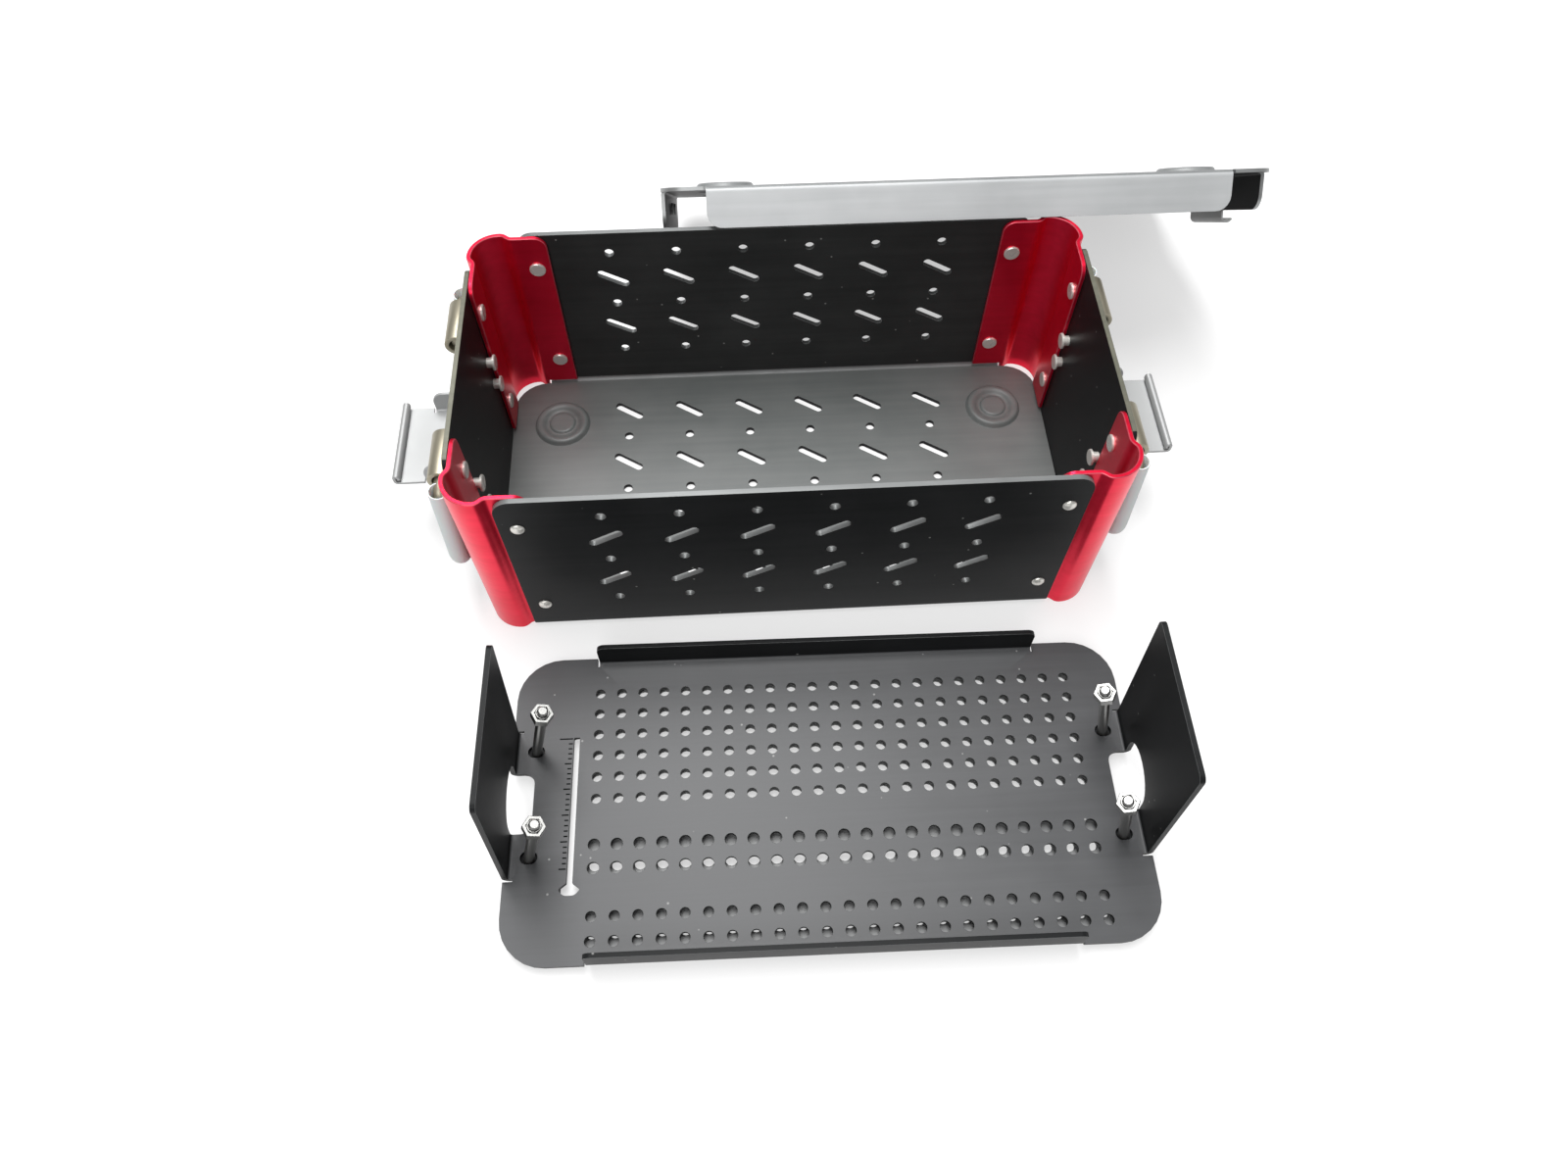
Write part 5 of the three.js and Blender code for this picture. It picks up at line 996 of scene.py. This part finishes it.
# %% Hook the keepers
KEEPER_STRIP, KEEPER_HALF_WIDTH = 0.8, 17.5
KEEPER_LINE_X, KEEPER_TOP_Z, KEEPER_LENGTH = LID_X + 0.65, -2, 15.2
HOOK_BEND, HOOK_DEGREES, HOOK_STEPS, HOOK_TIP = 2.3, 150, 12, 0.4
KEEPER_RIVET_Y, KEEPER_RIVET_Z, KEEPER_GRIP, KEEPER_DISC = 11, -6, 2.6, 2.6
for end, sx in ENDS.items():
    keeper = bmesh.new()
    start = (KEEPER_LINE_X, -KEEPER_HALF_WIDTH, KEEPER_TOP_Z)
    line = bmesh.ops.create_vert(keeper, co=start)["vert"]
    line = bmesh.ops.extrude_vert_indiv(keeper, verts=line)["verts"]
    bmesh.ops.translate(keeper, vec=(0, 2 * KEEPER_HALF_WIDTH, 0), verts=line)
    sweep = Sweep(keeper, keeper.edges[:], (KEEPER_LINE_X, 0, KEEPER_TOP_Z), (0, 0, -1), (0, -1, 0))
    sweep.straight(KEEPER_LENGTH).bend(HOOK_BEND, HOOK_DEGREES, HOOK_STEPS).straight(HOOK_TIP)
    weld(keeper)
    thicken(keeper, KEEPER_STRIP, shift=KEEPER_STRIP / 2)
    deburr(keeper, width=0.2, material=KEEP, segments=2)
    for sy in (-1, 1):
        rivet = spin_profile(rivet_profile(KEEPER_GRIP, DOMED_HEAD, disc=KEEPER_DISC))
        place_in(keeper, rivet, along_x(LID_X + KEEPER_STRIP, sy * KEEPER_RIVET_Y, KEEPER_RIVET_Z))
    hooked = bmesh.new()
    place_in(hooked, keeper, LID_PLACE @ Matrix.Diagonal((sx, 1, 1, 1)))
    hand_over(hooked, f"lid_keeper_hook_{end}", "lid", [f"lid_keeper_{end}"], [STEEL])

# %% [markdown]
# ## Screw rack
# The upper plate holds screws by their heads in ten rows of holes: six small, two large
# and two medium. A gauge is cut beside them: a slot that a screw is laid in, with a
# scale of 2 mm ticks. The plate's ends are folded up into two flaps with finger holes.
# It is one blank with 230 punched holes, and the folds come after them, as in the press.
# It is drawn round its own middle, and one matrix lays it in front of the case.

# %% Sizes of the upper plate
RACK_PLACE = Matrix.Translation((7, -145.5, 0)) @ Matrix.Rotation(math.radians(-0.8), 4, "Z")
RACK_SHEET, RACK_TOP_Z, RACK_BEND = 1.8, 6.3, 1.0
RACK_X, RACK_Y, RACK_CORNER = 117.3, 58.7, 17.0
RACK_FOLD_X, RACK_FOLD_Y = RACK_X - RACK_SHEET - RACK_BEND, 55.9
RACK_FLANGE_HALF, RACK_FLANGE_TOP, RACK_FLANGE_CORNER = 86.0, 18.3, 3
FLAP_HALF, FLAP_LEAN, FLAP_LENGTH, FLAP_CORNER = 28.0, 5.0, 75.0, 2.5
FINGER_X, FINGER_HALF, FINGER_TOP = 108.3, 11.5, 17.0
FINGER_CORNER, FINGER_ROUND = 4, 11.4
COLUMN_X = [-85.2 + 8.282 * column for column in range(23)]
SMALL_ROWS, SMALL_HOLE = (43.44, 34.93, 26.41, 17.9, 9.39, 0.88), 1.9
LARGE_ROWS, LARGE_HOLE = (-16.44, -25.0), 2.25
MEDIUM_ROWS, MEDIUM_HOLE = (-42.15, -50.72), 1.95
STUD_X, STUD_Y, STUD_LEAN = 109.8, 20.3, 13.5
STUD_SLOT_X, STUD_SLOT_LENGTH, STUD_SLOT_WIDTH = 108.5, 6.4, 4.8
GAUGE_X, GAUGE_REAR_Y, GAUGE_FRONT_Y, GAUGE_END_Y = -93.4, 25.4, -30.1, -34.5
# Half the gauge's outline: a straight slot that ends in a seat for the screw's head.
GAUGE_HALF = [(1.1, GAUGE_REAR_Y, 0.3), (1.1, GAUGE_FRONT_Y), (4, GAUGE_FRONT_Y - 2.2, 0.8),
              (2, GAUGE_END_Y, 1)]
TICKS, TICK_STEP, FIRST_TICK_DROP, TICK_GAP = 26, 2, 0.4, 1.5
FIRST_TICK, FIFTH_TICK, PLAIN_TICK = 5.0, 2.6, 1.5
TICK_WIDTH, TICK_HEIGHT = 0.5, 0.04
RACK_TICK, RACK_SHADE = 2, 3         # the upper plate's other two materials
print("screw holes:", len(COLUMN_X) * len(SMALL_ROWS + LARGE_ROWS + MEDIUM_ROWS))

# %% Cut and fold the upper plate
upper = bmesh.new()
upper_blank = cut_blank(mirrored_corners([
    (FINGER_X, FINGER_HALF, FINGER_CORNER), (RACK_FOLD_X, FINGER_HALF), (RACK_FOLD_X, FLAP_HALF),
    (RACK_FOLD_X - RELIEF, FLAP_HALF), (RACK_FOLD_X - RELIEF, FLAP_HALF + RELIEF),
    (RACK_X, FLAP_HALF + RELIEF), (RACK_X, RACK_Y, RACK_CORNER), (RACK_FLANGE_HALF + RELIEF, RACK_Y),
    (RACK_FLANGE_HALF + RELIEF, RACK_FOLD_Y - RELIEF), (RACK_FLANGE_HALF, RACK_FOLD_Y - RELIEF),
    (RACK_FLANGE_HALF, RACK_FOLD_Y)]))
for rows, radius in ((SMALL_ROWS, SMALL_HOLE), (LARGE_ROWS, LARGE_HOLE), (MEDIUM_ROWS, MEDIUM_HOLE)):
    for y in rows:
        for x in COLUMN_X:
            punch_round(upper_blank, x, y, radius, 16)
for sx in (-1, 1):
    for sy in (-1, 1):
        punch_slot(upper_blank, sx * STUD_SLOT_X, sy * STUD_Y, STUD_SLOT_LENGTH, STUD_SLOT_WIDTH, 0)
gauge = [(GAUGE_X - offset, y, *rounding) for offset, y, *rounding in GAUGE_HALF]
gauge += [(GAUGE_X + offset, y, *rounding) for offset, y, *rounding in GAUGE_HALF[::-1]]
place_in(upper_blank, cut_blank(gauge))
fill_blank(upper_blank)
place_in(upper, upper_blank, Matrix.Translation((0, 0, RACK_TOP_Z)))
for side in (-1, 1):
    rim = edges_where(upper, lambda co: abs(co.y - side * RACK_FOLD_Y) < NEAR
                      and abs(co.x) < RACK_FLANGE_HALF + NEAR)
    Sweep(upper, rim, (0, side * RACK_FOLD_Y, RACK_TOP_Z), (0, side, 0), (side, 0, 0)).bend(RACK_BEND, 90, 4)
    flange_foot = RACK_TOP_Z + RACK_BEND
    flange = cut_blank([
        (-RACK_FLANGE_HALF, flange_foot), (RACK_FLANGE_HALF, flange_foot),
        (RACK_FLANGE_HALF, RACK_FLANGE_TOP, RACK_FLANGE_CORNER),
        (-RACK_FLANGE_HALF, RACK_FLANGE_TOP, RACK_FLANGE_CORNER)])
    stand = Matrix.Translation((0, side * (RACK_FOLD_Y + RACK_BEND), 0)) @ STAND_XZ
    place_in(upper, fill_blank(flange), stand)
    rim = edges_where(upper, lambda co: abs(co.x - side * RACK_FOLD_X) < NEAR
                      and abs(co.y) < FLAP_HALF + NEAR)
    sweep = Sweep(upper, rim, (side * RACK_FOLD_X, 0, RACK_TOP_Z), (side, 0, 0), (0, -side, 0))
    sweep.bend(RACK_BEND, 90 + FLAP_LEAN, 5)
    flap = cut_blank([
        (FINGER_HALF, 0), (FLAP_HALF, 0),
        (FLAP_HALF, FLAP_LENGTH, FLAP_CORNER), (-FLAP_HALF, FLAP_LENGTH, FLAP_CORNER),
        (-FLAP_HALF, 0), (-FINGER_HALF, 0),
        (-FINGER_HALF, FINGER_TOP, FINGER_ROUND), (FINGER_HALF, FINGER_TOP, FINGER_ROUND)])
    lean = Matrix.Rotation(math.radians(-side * FLAP_LEAN), 4, "Y")
    place_in(upper, fill_blank(flap), Matrix.Translation(sweep.at) @ lean @ STAND_YZ)
weld(upper, up=(0, 0, 1))
thicken(upper, RACK_SHEET)
deburr(upper, width=0.2)
# The flat faces keep the lighter black as painted sheen; folded-up and upright faces get the plain black.
for face in upper.faces:
    folded_up = face.calc_center_median().z > RACK_TOP_Z + RACK_BEND / 2
    upright = abs(face.normal.z) < 0.3
    if face.material_index == PLAIN and (folded_up or upright):
        face.material_index = RACK_SHADE
print("upper plate:", len(upper.faces), "faces with its bevels")

# %% [markdown]
# ### Scale and lower plate
# The ticks of the gauge are engraved lines. Cutting them would need a groove too fine
# to see, so each is a thin dark block that lies almost level with the sheet. The lower
# plate carries the tips of the screws. It is flat, and only shows through the holes of
# the upper one, so its holes have fewer steps.

# %% Engrave the scale and hand the plate over
for tick in range(TICKS):
    length = FIRST_TICK if tick == 0 else (FIFTH_TICK if tick % 5 == 0 else PLAIN_TICK)
    middle = GAUGE_X - TICK_GAP - length / 2
    size = Matrix.Diagonal((length, TICK_WIDTH, TICK_HEIGHT, 1))
    y = GAUGE_REAR_Y - FIRST_TICK_DROP - TICK_STEP * tick
    place = Matrix.Translation((middle, y, RACK_TOP_Z)) @ size
    made = bmesh.ops.create_cube(upper, size=1, matrix=place)["verts"]
    for face in {face for vert in made for face in vert.link_faces}:
        face.material_index = RACK_TICK
placed = bmesh.new()
place_in(placed, upper, RACK_PLACE)
hand_over(placed, "rack_upper_sheet", "rack", ["rack_upper_plate"],
          [RACK_PAINTED_SHEEN, BLACK_EDGE, ENGRAVED, BLACK])

# %% Cut the lower plate
LOWER_SHEET, LOWER_X, LOWER_Y, LOWER_CORNER = 1.5, 113, 54.5, 14
LOWER_NOTCH_X, LOWER_NOTCH_HALF, LOWER_NOTCH_CORNER = 105.8, 13, 2
# The small screws' tips have wide holes, and each pair of larger rows shares one row.
LOWER_ROWS = [(y + 0.3, 2.45) for y in SMALL_ROWS] + [(-22.66, 2.2), (-47.19, 1.7)]
WINDOW_LENGTH, WINDOW_WIDTH = 63.9, 8
STUD_HOLE_X, STUD_HOLE = 109.6, 2.4

lower_blank = cut_blank(mirrored_corners([
    (LOWER_NOTCH_X, LOWER_NOTCH_HALF, LOWER_NOTCH_CORNER), (LOWER_X, LOWER_NOTCH_HALF),
    (LOWER_X, LOWER_Y, LOWER_CORNER)]))
for y, radius in LOWER_ROWS:
    for x in COLUMN_X:
        punch_round(lower_blank, x, y, radius, 12)
punch_slot(lower_blank, GAUGE_X, (GAUGE_REAR_Y + GAUGE_END_Y) / 2, WINDOW_LENGTH, WINDOW_WIDTH, 90)
for sx in (-1, 1):
    for sy in (-1, 1):
        punch_round(lower_blank, sx * STUD_HOLE_X, sy * STUD_Y, STUD_HOLE)
lower = bmesh.new()
place_in(lower, fill_blank(lower_blank), RACK_PLACE @ Matrix.Translation((0, 0, LOWER_SHEET)))
thicken(weld(lower, up=(0, 0, 1)), LOWER_SHEET)
deburr(lower, width=0.15)
# The lower plate gets the pale grey as painted light seen through the holes.
hand_over(lower, "rack_lower_sheet", "rack", ["rack_lower_plate"], [LOWER_PAINTED_LIGHT, BLACK_EDGE])

# %% [markdown]
# ### Studs and nuts
# Four threaded studs lean inwards over the plates, each with a nut near its end and a
# spacer between the plates, drawn black as painted shade in the slot round its foot.
# The thread is too fine to show at this distance, so the rod is plain. A nut is a
# hexagon with a thin collar: the same spin makes both, with six steps for the one and
# 24 for the other.

# %% Turn the studs and nuts
STUD_RADIUS, STUD_FOOT, STUD_END, STUD_CHAMFER = 1.9, 0.6, 45.4, 0.5
# Half profiles: radius, and height along the stud.
ROD = [(0, STUD_FOOT), (STUD_RADIUS, STUD_FOOT), (STUD_RADIUS, STUD_END - STUD_CHAMFER),
       (STUD_RADIUS - STUD_CHAMFER, STUD_END), (0, STUD_END)]
SPACER = [(0, 1.6), (4, 1.6), (4, 4.4), (0, 4.4)]
HEXAGON = [(2.2, 39.6), (3.7, 39.6), (4.04, 39.95), (4.04, 43.0), (3.85, 43.2), (2.95, 43.2),
           (2.95, 42.2), (2.2, 42.2)]
COLLAR = [(2.05, 42.1), (2.45, 42.1), (2.45, 43.5), (2.3, 43.7), (2.05, 43.7)]
SPACER_SHADE = 1

for end, sx in ENDS.items():
    for front, sy in SIDES.items():
        foot = Matrix.Translation((sx * STUD_X, sy * STUD_Y, 0))
        lean = foot @ Matrix.Rotation(math.radians(-sx * STUD_LEAN), 4, "Y")
        stud = bmesh.new()
        place_in(stud, spin_profile(ROD), RACK_PLACE @ lean)
        # Painted shade: the spacer is drawn black, for the dark slot round the stud's foot.
        spacer = spin_profile(SPACER)
        for face in spacer.faces:
            face.material_index = SPACER_SHADE
        place_in(stud, spacer, RACK_PLACE @ foot)
        hand_over(stud, f"rack_stud_turned_{front}_{end}", "rack", [f"rack_stud_{front}_{end}"],
                  [NUT_STEEL, BLACK])
        nut = bmesh.new()
        for profile, steps in ((HEXAGON, 6), (COLLAR, 24)):
            ring = spin_profile(profile + profile[:1], steps)
            place_in(nut, ring, RACK_PLACE @ lean)
        hand_over(nut, f"rack_nut_turned_{front}_{end}", "rack", [f"rack_nut_{front}_{end}"],
                  [NUT_STEEL])

# %% [markdown]
# ## Stage and light
# The picture was taken on white. The floor is pale and adds a little glow of its own
# for the camera and for reflections, so it reads as white and still takes the soft
# shadow of the case. A white world alone would light everything, and the shadow would
# be gone. A wide lamp nearly overhead gives the flat sheets their sheen, while the
# upright ones stay dark. A weaker lamp fills in from the front.

# %% Floor and world
FLOOR_HALF_SIZE, FLOOR_COLOUR, FLOOR_GLOW = 4.0, "#b4b4b4", 0.56
AMBIENT, BACKDROP = 0.28, 1.0
WHITE = (1, 1, 1, 1)

floor_bm = bmesh.new()
bmesh.ops.create_grid(floor_bm, x_segments=1, y_segments=1, size=FLOOR_HALF_SIZE)
floor_mesh = bpy.data.meshes.new("floor")
floor_bm.to_mesh(floor_mesh)
floor_bm.free()
floor = bpy.data.objects.new("floor", floor_mesh)
bpy.context.scene.collection.objects.link(floor)

floor_material, tree = new_material("white table, matte")
path = add_node(tree, "ShaderNodeLightPath")
seen = add_node(tree, "ShaderNodeMath", {0: path.outputs["Is Camera Ray"], 1: path.outputs["Is Glossy Ray"]},
                operation="MAXIMUM")
seen = add_node(tree, "ShaderNodeMath", {0: seen.outputs[0], 1: path.outputs["Is Transmission Ray"]},
                operation="MAXIMUM")
strength = add_node(tree, "ShaderNodeMath", {0: seen.outputs[0]}, {1: FLOOR_GLOW}, operation="MULTIPLY")
glow = add_node(tree, "ShaderNodeEmission", {"Strength": strength.outputs[0]}, {"Color": WHITE})
matte = add_node(tree, "ShaderNodeBsdfDiffuse", None, {"Color": hex_colour(FLOOR_COLOUR)})
together = add_node(tree, "ShaderNodeAddShader", {0: glow.outputs[0], 1: matte.outputs[0]})
close_material(tree, together)
floor_mesh.materials.append(floor_material)

world = bpy.data.worlds.new("studio")
bpy.context.scene.world = world
world.use_nodes = True
tree = world.node_tree
tree.nodes.clear()
path = add_node(tree, "ShaderNodeLightPath")
ambient = add_node(tree, "ShaderNodeBackground", None, {"Color": WHITE, "Strength": AMBIENT})
backdrop = add_node(tree, "ShaderNodeBackground", None, {"Color": WHITE, "Strength": BACKDROP})
mixed = add_node(tree, "ShaderNodeMixShader", {0: path.outputs["Is Camera Ray"], 1: ambient.outputs[0],
                                              2: backdrop.outputs[0]})
add_node(tree, "ShaderNodeOutputWorld", {"Surface": mixed.outputs[0]})
print("floor glow:", FLOOR_GLOW, "ambient:", AMBIENT, "backdrop:", BACKDROP)

# %% Lamps
def add_lamp(name, place, aim, size, power):
    data = bpy.data.lights.new(name, "AREA")
    data.shape = "RECTANGLE"
    data.size, data.size_y = size
    data.energy = power
    lamp = bpy.data.objects.new(name, data)
    lamp.location = place
    lamp.rotation_euler = (Vector(aim) - Vector(place)).to_track_quat("-Z", "Y").to_euler()
    bpy.context.scene.collection.objects.link(lamp)
    print(f"{name}: {power} W over {size} m")
    return lamp


add_lamp("wide lamp overhead", (-0.12, 0.45, 1.65), (-0.03, 0.02, 0.0), (0.75, 1.5), 40)
add_lamp("fill in front", (-0.5, -1.3, 1.4), (0, 0, 0.03), (1.4, 0.9), 16)

scene = bpy.context.scene
scene.view_settings.view_transform = "Standard"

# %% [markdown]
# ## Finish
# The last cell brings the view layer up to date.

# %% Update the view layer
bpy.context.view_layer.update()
